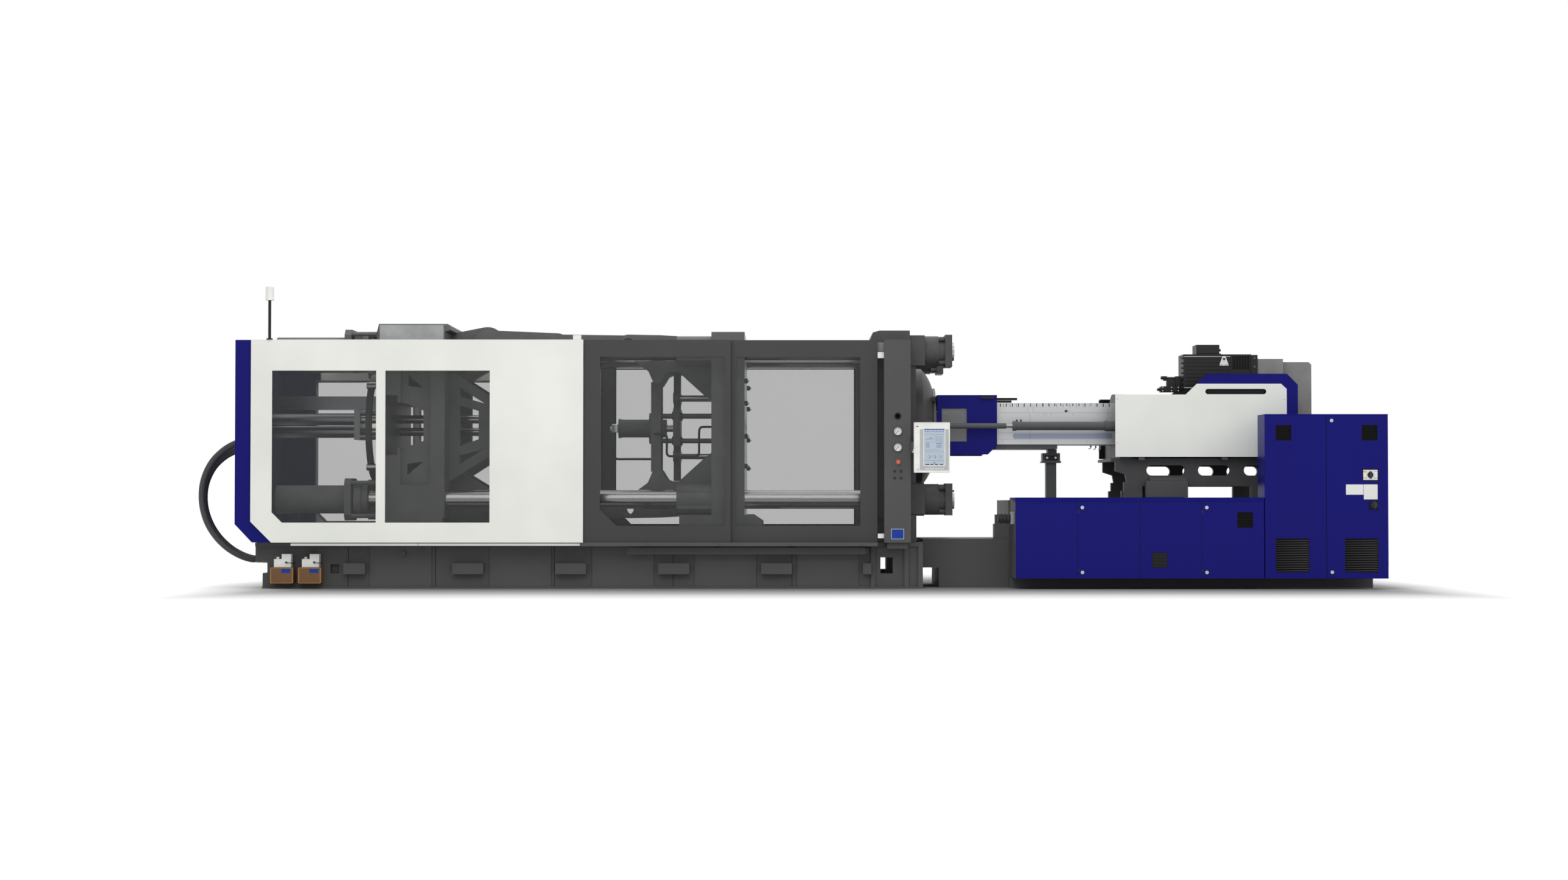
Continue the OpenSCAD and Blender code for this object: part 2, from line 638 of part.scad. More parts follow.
// Sliding gates: the outer leaf to the left, the inner leaf behind it to the right
leaf_t = 40;
outer_y = guard_y - panel_t - 8;
inner_y = outer_y - leaf_t - 10;
leaf_top = 169;
module leaf(x0, x1, wx0, wx1, cut, y) {
  difference() {
    slab(-y, -y + leaf_t) difference() {
      translate([x0, guard_z0]) square([x1 - x0, guard_z1 - guard_z0]);
      cut_rect([wx0, guard_z0 + 164], [wx1, guard_z1 - leaf_top], cut);
    }
    // Rebate that takes the pane
    slab(-y + leaf_t - pane_t - 6, -y + leaf_t + 1)
      cut_rect([wx0 - 25, guard_z0 + 139], [wx1 + 25, guard_z1 - leaf_top + 25], cut);
  }
  slab(-y + leaf_t - pane_t - 6 + seat, -y + leaf_t - 6 + seat)
    cut_rect([wx0 - 24, guard_z0 + 140], [wx1 + 24, guard_z1 - leaf_top + 24], cut);
}
module outer_leaf() leaf(guard_x1, guard_x1 + 1455, guard_x1 + 165, guard_x1 + 1400, 162, outer_y);
module inner_leaf() leaf(-1392, 64, -1340, -105, 0, inner_y);
module gate_left() color(c_gate) outer_leaf();
module gate_right() color(c_gate2) inner_leaf();
module rear_gate_left() color(c_gate) mirror([0, 1, 0]) outer_leaf();
module rear_gate_right() color(c_gate2) mirror([0, 1, 0]) inner_leaf();

// Bottom tracks, top guides and tread rails of the gates, on brackets from the bed
track_x0 = -5700;
track_x1 = 64;
module gate_rails() color("#8C8C88") both_sides() {
  block([track_x0, -guard_y + 6, guard_z0 - 36], [track_x1, -inner_y + leaf_t + 8, guard_z0 - seat]);
  for (x = [-5600:1100:0]) block([x, -inner_y + leaf_t + 7, guard_z0 - 40], [x + 80, -bed_hw - 22 - seat,
    guard_z0 - seat]);
  block([-2415, -1150, 342], [-52, -1120, 408]);
  for (x = [-2300:740:-80]) block([x, -1121, 350], [x + 60, -bed_hw - skin - seat, 400]);
  // Top guide, from the guard's back to the post
  block([track_x0, -inner_y + leaf_t + 8, guard_z1 - 110], [post_x0 - seat, -inner_y + leaf_t + 48,
    guard_z1 - 20]);
  for (x = [track_x0, track_x0 + 1200])
    block([x, -guard_y + panel_t + seat, guard_z1 - 90], [x + 90, -inner_y + leaf_t + 9, guard_z1 - 40]);
}

// Guards, end cover, posts and what hangs on them

win_top = guard_z1 - 307;
win_bot = guard_z0 + 196;
win1 = [guard_x0 + 208, guard_x0 + 1236];
win2 = [guard_x0 + 1326, guard_x0 + 2357];

// White guard panels, front and rear, folded round their edges and windows
module guard_panel() {
  difference() {
    slab(-guard_y, -guard_y + panel_t) difference() {
      cut_rect([guard_x0, guard_z0], [guard_x1 - seat, guard_z1], 206);
      cut_rect([win1[0], win_bot], [win1[1], win_top], 101);
      translate([win2[0], win_bot]) square([win2[1] - win2[0], win_top - win_bot]);
    }
    slab(-guard_y + panel_t - pane_t - 4, -guard_y + panel_t + 1) {
      cut_rect([win1[0] - 22, win_bot - 22], [win1[1] + 22, win_top + 22], 101);
      translate([win2[0] - 22, win_bot - 22]) square([win2[1] - win2[0] + 44, win_top - win_bot + 44]);
    }
  }
}
module clamp_guards() color(c_white) both_sides() guard_panel();

// Panes of the white guards
module guard_windows() color(c_glass) both_sides()
  slab(-guard_y + panel_t - pane_t - 4 + seat, -guard_y + panel_t - 4 + seat) {
    cut_rect([win1[0] - 21, win_bot - 21], [win1[1] + 21, win_top + 21], 101);
    translate([win2[0] - 21, win_bot - 21]) square([win2[1] - win2[0] + 42, win_top - win_bot + 42]);
  }

// Blue end cover: end wall and the two returns that meet the white guards
cover_x0 = guard_x0 - 165;
cover_y = guard_y - 50;
module end_cover() color(c_blue) {
  difference() {
    block([cover_x0, -cover_y, guard_z0], [guard_x0 + 240, cover_y, guard_z1]);
    block([cover_x0 + 20, -cover_y + 20, guard_z0 - 1], [guard_x0 + 241, cover_y - 20, guard_z1 + 1]);
    // Lower corner cut of the end
    slab(-cover_y - 1, cover_y + 1) polygon([[cover_x0 - 1, guard_z0 - 1], [cover_x0 + 172, guard_z0 - 1],
      [cover_x0 - 1, guard_z0 + 182]]);
    // The returns follow the corner cut and the windows of the white guards
    slab(-cover_y - 1, cover_y + 1) polygon([[guard_x0 + 190, guard_z0 - 1], [guard_x0 + 245, guard_z0 - 1],
      [guard_x0 + 245, guard_z0 + 235], [guard_x0 + 190, guard_z0 + 235]]);
    slab(-cover_y - 1, cover_y + 1) polygon([[guard_x0 + 190, guard_z0 + 190], [guard_x0 + 245,
      guard_z0 + 190],
      [guard_x0 + 245, guard_z1 - 280], [guard_x0 + 190, guard_z1 - 280]]);
  }
  // Stays to the white guards and to the bed's end
  both_sides() {
    block([guard_x0 + 20, -guard_y + panel_t, guard_z1 - 200], [guard_x0 + 120, -cover_y + 1,
      guard_z1 - 100]);
    block([guard_x0 + 20, -guard_y + panel_t, guard_z0 + 300], [guard_x0 + 120, -cover_y + 1,
      guard_z0 + 400]);
    block([guard_x0 + 4, -cover_y + 19, guard_z0 + 220], [guard_x0 + 60, -cover_y + 60, guard_z1 - 300]);
    block([guard_x0 + 4, -cover_y + 19, guard_z0 + 220], [guard_x0 + 60, -bed_hw + 100, guard_z0 + 280]);
    block([guard_x0 + 4, -bed_hw + 20, bed_z], [guard_x0 + 60, -bed_hw + 100, guard_z0 + 280]);
  }
}

// Post at the fixed platen that carries the controls, and the plain one behind
post_x0 = 129;
post_x1 = 390;
port_x = post_x0 + 133;
gauge_z = [1557, 1398];
needle_hub_d = 10;
module guard_posts() color("#585858") {
  both_sides() difference() {
    block([post_x0, -guard_y, guard_z0], [post_x1, -bed_hw, guard_z1 - 1]);
    block([post_x0 + 6, -guard_y + 6, guard_z0 - 1], [post_x1 - 6, -bed_hw - 6, guard_z1 + 1]);
    // Wall openings behind the gauges and the port
    for (z = gauge_z) rod_y(-guard_y - 1, -guard_y + 7, gauge_d - 14, port_x, z);
    rod_y(-guard_y - 1, -guard_y + 7, 50, port_x, 1708);
    rod_y(-guard_y - 1, -guard_y + 7, 24, port_x + 3, 1254);
    for (x = [231, 293], z = [1165, 1098]) rod_y(-guard_y - 1, -guard_y + 7, 18, x, z);
  }
  // Arms to the bed
  both_sides() block([post_x0 + 30, -guard_y + 60, guard_z0 - 60], [post_x1 - 30, -bed_hw - 22 - seat,
    guard_z0 + 1]);
}

// Gauge cases, hand port, sockets and the collar of the stop button
module post_fittings() color(c_dark) translate([0, -guard_y, 0]) {
  for (z = gauge_z) difference() {
    union() {
      rod_y(-22, -seat, gauge_d, port_x, z);
      rod_y(-1, 50, gauge_d - 16, port_x, z);
    }
    rod_y(-23, -8, gauge_d - 10, port_x, z);
    rod_y(-12, 4, needle_hub_d + 2 * run, port_x, z);
  }
  difference() {
    rod_y(-8, 60, 48, port_x, 1708);
    rod_y(-9, 50, 36, port_x, 1708);
  }
  difference() {
    rod_y(-8, -seat, 64, port_x, 1708);
    rod_y(-9, 0, 47, port_x, 1708);
  }
  difference() {
    union() {
      rod_y(-12, -seat, 44, port_x + 3, 1254);
      rod_y(-1, 44, 22, port_x + 3, 1254);
    }
    rod_y(-13, 24, 14 + 2 * run, port_x + 3, 1254);
  }
  for (x = [231, 293], z = [1165, 1098]) difference() {
    union() {
      rod_y(-10, -seat, 26, x, z);
      rod_y(-1, 30, 16, x, z);
    }
    rod_y(-11, -2, 14, x, z);
  }
}

// Mushroom head of the stop button on its stem
module stop_button() color("#C03028") translate([port_x + 3, -guard_y, 1254]) {
  rod_y(-34, -20, 38);
  rod_y(-21, 14, 14);
}

// Gauge needles on their hubs
module needle(z) color("#181818") translate([port_x, -guard_y, z]) {
  rod_y(-12, 2, needle_hub_d);
  rotate([0, 135, 0]) block([-14, -13.5, -2], [26, -12, 2]);
}
module needle_upper() needle(gauge_z[0]);
module needle_lower() needle(gauge_z[1]);

// Signal lamp on its pole at the left end
beacon_x = -5940;
beacon_y = guard_y - panel_t / 2;
module beacon_pole() color("#3A3A3A") {
  rod_z(guard_z1 + seat, 2852, 29, beacon_x, -beacon_y);
  rod_z(guard_z1 + seat, guard_z1 + 12, 64, beacon_x, -beacon_y);
}
module beacon_lamp() color("#F0F0EC") {
  rod_z(2852 + seat, 2872, 88, beacon_x, -beacon_y);
  rod_z(2871, 2978, 82, beacon_x, -beacon_y);
  translate([beacon_x, -beacon_y, 2978]) rotate_extrude() intersection() {
    translate([0, -60]) circle(77);
    square([41, 30]);
  }
}

// Two hydraulic hoses in a wide loop from the end cover to the bed's end
hose_d = 70;
hose_route = [[-6330, 1395], [-6390, 1395], [-6480, 1362], [-6560, 1312], [-6640, 1236], [-6700, 1140],
  [-6738, 1030], [-6750, 910], [-6738, 790], [-6700, 670], [-6640, 560], [-6560, 462], [-6460, 378],
  [-6350, 318], [-6250, 287], [-6190, 287]];
hose_y = [-600, -500];
hose_rise = [64, 0];
// Ring of a tube: a point of the route, and the normal of its bend
function heading(p, i) =
  let (a = p[max(i - 1, 0)], b = p[min(i + 1, len(p) - 1)], d = [b[0] - a[0], b[1] - a[1]]) d / norm(d);
function ring(p, i, r, n, y) =
  let (h = heading(p, i))
  [for (k = [0:n - 1]) let (a = 360 * k / n)
    [p[i][0] - h[1] * r * cos(a), y + r * sin(a), p[i][1] + h[0] * r * cos(a)]];
module sweep(p, d, n, y) {
  m = len(p);
  points = [for (i = [0:m - 1]) each ring(p, i, d / 2, n, y)];
  walls = [for (i = [0:m - 2], k = [0:n - 1]) let (j = (k + 1) % n)
    each [[i * n + k, (i + 1) * n + k, i * n + j], [(i + 1) * n + k, (i + 1) * n + j, i * n + j]]];
  start = [[for (k = [0:n - 1]) k]];
  finish = [[for (k = [n - 1:-1:0]) (m - 1) * n + k]];
  polyhedron(points, concat(walls, start, finish));
}
// The near hose leaves a little higher than the far one and sinks to it along the loop
function raised(i, k) = hose_rise[i] * (k < 2 ? 1 : max(0, 1 - (k - 1) / 8));
module hose(i) color("#2C2C2E")
  sweep([for (k = [0:len(hose_route) - 1])
    hose_route[k] + [0, raised(i, k)]], hose_d, 10, hose_y[i]);
module hose_near() hose(0);
module hose_far() hose(1);

// Unions of the hoses on the end cover and on the bed's end
module hose_glands() color("#8A8C8E") for (i = [0, 1]) translate([0, hose_y[i], 0]) {
  z = hose_route[0][1] + raised(i, 0);
  rod_x(hose_route[0][0], cover_x0 - seat, hose_d + 8, 0, z);
  rod_x(cover_x0 - 12, cover_x0 - seat, hose_d + 28, 0, z);
  rod_x(hose_route[15][0], -6055 - seat, 48, 0, hose_route[15][1]);
  rod_x(hose_route[15][0], hose_route[15][0] + 40, hose_d + 8, 0, hose_route[15][1]);
  block([-6130, -42, 245], [-6055 - seat, 42, 329]);
}

// Two central lubricators: oil tanks with stepped pumps on their lids
tank_x = [-5953, -5676];
tank_w = 231;
module lubricator_tanks() color(c_amber) for (x = tank_x) {
  slab(-1150, -bed_hw - seat) round_rect([x, 54], [x + tank_w, 215 - seat], 10);
}
module lubricator_pumps() color(c_white) for (x = tank_x) {
  block([x + 36, -1130, 215], [x + 204, -1030, 295]);
  block([x + 111, -1120, 294], [x + 204, -1030, 344]);
  rod_z(294, 316, 30, x + 66, -1080);
  rod_y(-1142, -1129, 26, x + 160, 262);
}

// Injection side: base, cabinets and what stands on them

base_x0 = 1407;
base_hw = 640;
low_x0 = base_x0 + 13;
low_x1 = low_x0 + 4 * low_w;
cab_y = guard_y;
door_t = 22;
lid_t = 44;

// Link box to the clamp bed, plinth and box frame with the carriage rails
rail_y = 560;
rail_h = 25;
rail_x0 = 2450;
module injection_base() color(c_bed) {
  slab(-645, 645) polygon([[bed_x1 + 18, 199], [704, 199], [704, 0], [base_x0 + 1, 0], [base_x0 + 1, 490],
    [bed_x1 + 18, 490]]);
  difference() {
    block([base_x0, -780, 0], [base_x1, 780, 105]);
    for (x = [1700, 3200, 4800], y = [-720, 720]) rod_z(-1, 40, 36, x, y);
  }
  // Frame box, hollow for the oil tank and the pumps
  difference() {
    block([base_x0, -base_hw, 104], [base_x1, 780, base_z - rail_h]);
    for (x = [base_x0 + 40, 2690, 3900]) block([x, -base_hw + 40, 130], [x + 1100, 740,
      base_z - rail_h - 60]);
  }
  // Arms that carry the tall cabinet
  for (x = [tall_x0 + 60, tall_x1 - 240]) block([x, tall_back + seat, 160], [x + 60, -base_hw + 1, 820]);
  both_sides() block([rail_x0, -rail_y - 40, base_z - rail_h - 1], [base_x1 - 120, -rail_y + 40, base_z]);
  // Clamp plates to the clamp bed
  both_sides() block([bed_x1 + seat, -645, 260], [bed_x1 + 20, -560, 460]);
}

// Louvred vent field: a sunk pocket with sloping slats, and a square filter vent
slat_pitch = 23;
module vent_pocket(x, z, w, h) { block([x, -1, z], [x + w, 14, z + h]); }
module slats(x, z, w, n) {
  for (i = [0:n - 1]) translate([x - 1, 0, z + 8 + i * slat_pitch])
    rotate([90, 0, 90]) linear_extrude(w + 2) polygon([[1, 0], [14.5, 10], [14.5, 14], [1, 4]]);
}

// Low cabinets: carcass with two fixed panels and a lid
module low_cabinets() {
  color(c_blue) difference() {
    block([low_x0, -cab_y + door_t, 107], [low_x1, -base_hw - seat, base_z - lid_t]);
    for (i = [0:3]) block([low_x0 + i * low_w + 24, -cab_y + door_t - 1, 131],
      [low_x0 + (i + 1) * low_w - 24, -base_hw - 30, base_z - lid_t - 24]);
  }
  color(c_blue) for (i = [0, 2])
    block([low_x0 + i * low_w + 1.5, -cab_y, 107], [low_x0 + (i + 1) * low_w - 1.5, -cab_y + door_t,
      base_z - lid_t - 1.5]);
  color(c_lid) difference() {
    block([low_x0, -cab_y, base_z - lid_t], [low_x1, -base_hw - seat, base_z]);
    for (x = low_hinge) rod_z(base_z - lid_t - 1, base_z - lid_t + 12, pin_bore, x, hinge_y);
  }
}

// Tall electrical cabinet
tall_x0 = low_x1 + 7;
tall_x1 = tall_x0 + tall_w;
tall_back = -920;
cap_t = 12;
module tall_cabinet() color(c_blue) difference() {
  union() {
    block([tall_x0, -cab_y + door_t, 105], [tall_x1, tall_back, tall_z]);
    block([tall_x0, -cab_y, tall_z - cap_t], [tall_x1, -cab_y + door_t + 1, tall_z]);
  }
  block([tall_x0 + 24, -cab_y + door_t - 1, 129], [tall_x1 - 24, tall_back - 20, tall_z - 24]);
  for (x = tall_hinge) rod_z(tall_z - cap_t - 1, tall_z - 3, pin_bore, x, hinge_y);
}

// Hinge axis of each door, close to its outer front edge, and its pin
door_gap = 1.5;
hinge_in = 5;
low_hinge = [low_x0 + 2 * low_w - door_gap - hinge_in, low_x1 - door_gap - hinge_in];
tall_hinge = [tall_x0 + door_gap + hinge_in, tall_x1 - door_gap - hinge_in];
hinge_y = -cab_y + hinge_in;
hinge_pin_d = 6;
pin_bore = hinge_pin_d + 2 * run;

// A cabinet door between x0 and x1 with the pin at x that hangs it
module door(x0, x1, z0, z1, x) {
  block([x0 + door_gap, -cab_y, z0], [x1 - door_gap, -cab_y + door_t - 1.2, z1]);
  rod_z(z1 - 1, z1 + 9, hinge_pin_d, x, hinge_y);
}

// Cam locks sit in the doors' free edges
module lock(x, z) { rod_y(-cab_y - 8, -cab_y + 2, 34, x, z); }
module low_door(i) color(c_blue) {
  x0 = low_x0 + (2 * i + 1) * low_w;
  difference() {
    door(x0, x0 + low_w, 107, base_z - lid_t - door_gap, low_hinge[i]);
    translate([0, -cab_y, 0]) if (i == 1) vent_pocket(x0 + 350, 609, 150, 149);
  }
  if (i == 1) translate([0, -cab_y, 0]) slats(x0 + 350, 609, 150, 6);
  for (z = [167, 806]) lock(x0 + 46, z);
}
module low_door_left() low_door(0);
module low_door_right() low_door(1);
louvre_h = slat_n * slat_pitch + 6;
module tall_door(i) color(c_blue) {
  x0 = tall_x0 + i * tall_w / 2;
  sq_x = i == 0 ? x0 + 112 : x0 + 352;
  lo_x = i == 0 ? x0 + 109 : x0 + 182;
  sq_z = tall_z - 259;
  difference() {
    door(x0, x0 + tall_w / 2, 107, tall_z - cap_t - door_gap, tall_hinge[i]);
    translate([0, -cab_y, 0]) {
      vent_pocket(sq_x, sq_z, 150, 149);
      vent_pocket(lo_x, 170, 325, louvre_h);
    }
    // Openings of the main switch shaft and the breaker
    if (i == 1) {
      rod_y(-cab_y - 1, -cab_y + door_t + 1, 16, switch_x, switch_z);
      block([breaker_x - 71, -cab_y - 1, breaker_z - 51], [breaker_x + 71, -cab_y + 12, breaker_z + 51]);
      rod_y(-cab_y, -cab_y + door_t + 1, 14, breaker_x, breaker_z);
    }
  }
  translate([0, -cab_y, 0]) {
    slats(sq_x, sq_z, 150, 6);
    slats(lo_x, 170, 325, slat_n);
  }
  if (i == 1) for (z = [169, tall_z - 64]) lock(x0 + 51, z);
}
module tall_door_left() tall_door(0);
module tall_door_right() tall_door(1);

// Rotary main switch and the breaker's lever on the right tall door
switch_x = tall_x0 + 1072;
switch_z = 831;
breaker_x = tall_x0 + 1042;
breaker_z = 1128;
module main_switch() color("#202020") translate([switch_x, -cab_y, switch_z]) {
  rod_y(-16, -seat, 72);
  rod_y(-40, -15, 52);
  block([-9, -56, -33], [9, -39, 33]);
  rod_y(-1, 40, 16 - 2 * run);
}
module breaker_lever() color("#181818") translate([breaker_x, -cab_y, breaker_z]) {
  rod_y(0, 11, 60);
  block([-11, -22, -34], [11, 1, 34]);
  rod_y(10, 34, 14 - 2 * run);
}

// Manifold at the left end of the cabinets, with short hoses into the base
manifold_x0 = base_x0 - 140;
module base_manifold() color("#4A4C4E") {
  block([manifold_x0, -base_hw + 6, 490 + seat], [base_x0 - seat, -base_hw + 206, 640]);
  for (i = [0:3]) rod_z(639, 735, 30, manifold_x0 + 20 + i * 34, -base_hw + 50);
}

// Post that carries the barrel's front end
module barrel_support() color("#909294") {
  block([1846, -54, base_z + seat - rail_h], [1954, 54, 1266]);
  block([1790, -110, base_z + seat - rail_h], [2010, 110, base_z + 10 - rail_h]);
  block([1800, -100, 1265], [1999, 100, 1283]);
  // Saddle on which the barrel's tray slides
  block([1808, -80, 1282], [1990, 80, 1366]);
  block([1862, -80, 1365], [1956, 80, cover_bot - 46 - seat]);
}

// Operator panel on its swivel arm

hmi_x0 = 416;
hmi_z0 = 1149;
hmi_y = 1400;
hmi_t = 55;
pivot_x = 403;
pivot_y = -1330;
knuckle_z = [1300, 1345, 1455, 1500];
module hmi_arm() color(c_dark) {
  block([post_x1 + seat, pivot_y + 14, knuckle_z[0]], [pivot_x - 3, -guard_y + 90, knuckle_z[3]]);
  for (k = [0, 2]) {
    rod_z(knuckle_z[k], knuckle_z[k + 1], 26, pivot_x, pivot_y);
    block([post_x1 + seat, pivot_y, knuckle_z[k]], [pivot_x, pivot_y + 16, knuckle_z[k + 1]]);
  }
  rod_z(knuckle_z[0], knuckle_z[3], 14, pivot_x, pivot_y);
}
module hmi_panel() color(c_white) {
  difference() {
    slab(-hmi_y, -hmi_y + hmi_t) round_rect([hmi_x0, hmi_z0], [hmi_x0 + hmi_w, hmi_z0 + hmi_h], 6);
    // Sunk screen
    block([hmi_x0 + 97, -hmi_y - 1, hmi_z0 + 75], [hmi_x0 + hmi_w - 56, -hmi_y + 3, hmi_z0 + hmi_h - 66]);
  }
  difference() {
    union() {
      rod_z(knuckle_z[1] + 1, knuckle_z[2] - 1, 26, pivot_x, pivot_y);
      block([pivot_x, pivot_y - 13, knuckle_z[1] + 1], [hmi_x0 + 60, pivot_y - 5, knuckle_z[2] - 1]);
      block([hmi_x0 + 20, pivot_y - 18, knuckle_z[1] + 1], [hmi_x0 + 60, pivot_y - 5, knuckle_z[2] - 1]);
    }
    rod_z(knuckle_z[1], knuckle_z[2], 14 + 2 * run, pivot_x, pivot_y);
  }
}

// Injection unit: everything that rides on the carriage

frame_top = 1305;
support_x0 = 2540;
support_x1 = 2660;
frame_x1 = 4260;
side_y = 550;
module oblong(x0, x1, z0, z1) { round_rect([x0, z0], [x1, z1], (z1 - z0) / 2 - 0.5); }

// Carriage casting: side cheeks with oblong holes, deck, feet and the front support of the barrel
module injection_frame() color(c_cast) difference() {
  union() {
    both_sides() {
      difference() {
        slab(-side_y, -side_y + 60)
          polygon([[2500, frame_top], [2500, 1173], [2600, 1140], [2614, 1063], [2585, 1063], [2585, 975],
            [2560, 975], [2560, base_z + seat], [2774, base_z + seat], [2774, 1021], [3872, 1021],
            [3872, base_z + seat], [4130, base_z + seat], [4130, 1021], [frame_x1, 1021], [frame_x1,
              frame_top]]);
        for (x = [[2817, 3208], [3340, 3667], [3805, 4130]])
          slab(-side_y - 1, -side_y + 61) oblong(x[0], x[1], 1130, 1234);
      }
      // Feet that ride on the rails
      block([2576, -side_y - 45, base_z + seat], [2770, -side_y + 50, 970]);
      block([3876, -side_y - 45, base_z + seat], [4126, -side_y + 50, 1014]);
      // Brackets of the side covers
      for (x = [2720, 3560, 4120]) {
        block([x, -688 + seat, 1285], [x + 60, -side_y + 1, frame_top]);
        block([x, -688 + seat, 1285], [x + 60, -660, 1400]);
      }
    }
    block([2455, -side_y + 1, frame_top - 30], [frame_x1, side_y - 1, frame_top]);
    // Cylinder box hung below the deck
    block([2810, -260, base_z + 2], [3239, 260, 1106]);
    for (x = [2840, 3150]) block([x, -side_y + 59, 1050], [x + 50, side_y - 59, 1110]);
    // Front support with a rounded top
    rod_x(support_x0, support_x1, 2 * (1946 - axis_z) + 60, 0, axis_z);
    block([support_x0, -620, frame_top - 1], [support_x1, 620, axis_z + 160]);
    block([support_x1 - 1, -240, frame_top - 1], [2900, 240, frame_top + 80]);
    // Guide strips of the drive
    both_sides() block([3000, -300, frame_top - 1], [frame_x1, -230, frame_top + 25]);
  }
  rod_x(support_x0 - 1, support_x1 + 1, barrel_d + 2 * seat, 0, axis_z);
}

// Barrel with nozzle, tip and heater bands
barrel_x0 = 300;
module barrel() color("#8A8A88") difference() {
  union() {
    rod_x(barrel_x0, support_x1 + 20, barrel_d, 0, axis_z);
    translate([170, 0, axis_z]) rotate([0, 90, 0]) cylinder(r1 = 60, r2 = barrel_d / 2, h = 131);
    rod_x(60, 171, 120, 0, axis_z);
    translate([36, 0, axis_z]) rotate([0, 90, 0]) cylinder(r1 = 18, r2 = 60, h = 25);
    for (i = [0:8]) rod_x(barrel_x0 + 60 + i * 240, barrel_x0 + 250 + i * 240, barrel_d + 26, 0, axis_z);
  }
  rod_x(barrel_x0, support_x1 + 21, screw_d + 2 * seat, 0, axis_z);
  rod_x(30, barrel_x0 + 1, 20, 0, axis_z);
}

// Sheet cover of the barrel: a tunnel with vent slits along its top edges and a tray below
cover_top = axis_z + 242;
cover_bot = axis_z - 181;
cov_x0 = 1322;
cov_x1 = 2533;
slit_pitch = 62;
module barrel_cover() color(c_silver) {
  difference() {
    block([cov_x0, -300, cover_bot], [cov_x1, 300, cover_top]);
    block([cov_x0 - 1, -288, cover_bot - 1], [cov_x1 + 1, 288, cover_top - 12]);
    for (i = [0:18]) block([cov_x0 + 30 + i * slit_pitch, -301, cover_top - 38],
      [cov_x0 + 38 + i * slit_pitch, 301, cover_top - 3]);
    // Step for the bluish strip along the sides
    both_sides() block([cov_x0 - 1, -301, axis_z - 127], [cov_x1 + 1, -298, axis_z - 63]);
  }
  // Tray under the front half
  difference() {
    block([cov_x0 - 12, -290, cover_bot - 46], [1940, 290, cover_bot + seat]);
    block([cov_x0, -278, cover_bot - 40], [1928, 278, cover_bot + 1]);
  }
  // Hangers to the barrel's front support
  both_sides() block([cov_x1 - 60, -289, axis_z - 100], [support_x0 - seat, -270, axis_z + 100]);
  // Saddles over the barrel
  for (x = [1500, 2260]) difference() {
    block([x, -289, axis_z + 100], [x + 30, 289, cover_top - 11]);
    rod_x(x - 1, x + 31, barrel_d + 26 + 2 * seat, 0, axis_z);
  }
}

// Carriage cylinders beside the barrel and injection cylinders behind the front support
cyl_x0 = 1459;
cyl_x1 = 2424;
shot_y = 430;
shot_d = 170;
shot_rod = 80;
module carriage_cylinders() color(c_dark) both_sides() {
  difference() {
    union() {
      rod_x(cyl_x0, cyl_x1, 87, -rod_off_y, axis_z + 1);
      rod_x(cyl_x0, cyl_x0 + 36, 100, -rod_off_y, axis_z + 1);
      rod_x(cyl_x1 - 30, support_x0 - seat, 110, -rod_off_y, axis_z + 1);
      for (x = [cyl_x0 + 43, cyl_x0 + 84]) rod_z(axis_z + 30, axis_z + 66, 20, x, -rod_off_y);
    }
    rod_x(cyl_x0 - 1, cyl_x1 - 10, piston_d + 2 * seat, -rod_off_y, axis_z + 1);
  }
  difference() {
    rod_x(support_x1 + seat, 3300, shot_d, -shot_y, axis_z);
    rod_x(support_x1 + 20, 3301, shot_rod + 2 * seat, -shot_y, axis_z);
  }
}

// Side covers of the injection unit, white with a blue arch, both sides
cov_y = 700;
white_outline = [[2484, 1317], [4214, 1317], [4214, 2003], [4157, 2055], [3309, 2055], [3195, 1946], [2484,
  1946]];
blue_outline = [[4214 + seat, 1317], [4327, 1317], [4327, 2045], [4217, 2156], [3411, 2156],
  [3310, 2055 + seat], [4157 + seat, 2055 + seat], [4214 + seat, 2003 + seat]];
module unit_covers() both_sides() {
  color(c_white) {
    slab(-cov_y, -cov_y + 12) difference() {
      polygon(white_outline);
      oblong(3393, 4008, 1949, 2003);
    }
    block([2484, -cov_y + 11, 1934], [3195, -cov_y + 130, 1946]);
    // Cup of the long grip slot
    slab(-cov_y + 12, -cov_y + 40) difference() {
      oblong(3385, 4016, 1941, 2011);
      oblong(3395, 4006, 1951, 2001);
    }
    slab(-cov_y + 39, -cov_y + 44) oblong(3385, 4016, 1941, 2011);
  }
  color(c_blue) {
    slab(-cov_y, -cov_y + 12) polygon(blue_outline);
    block([3411, -cov_y + 11, 2144], [4217, -cov_y + 130, 2156]);
    block([4315, -cov_y + 11, 1317], [4327, -cov_y + 130, 2045]);
  }
}

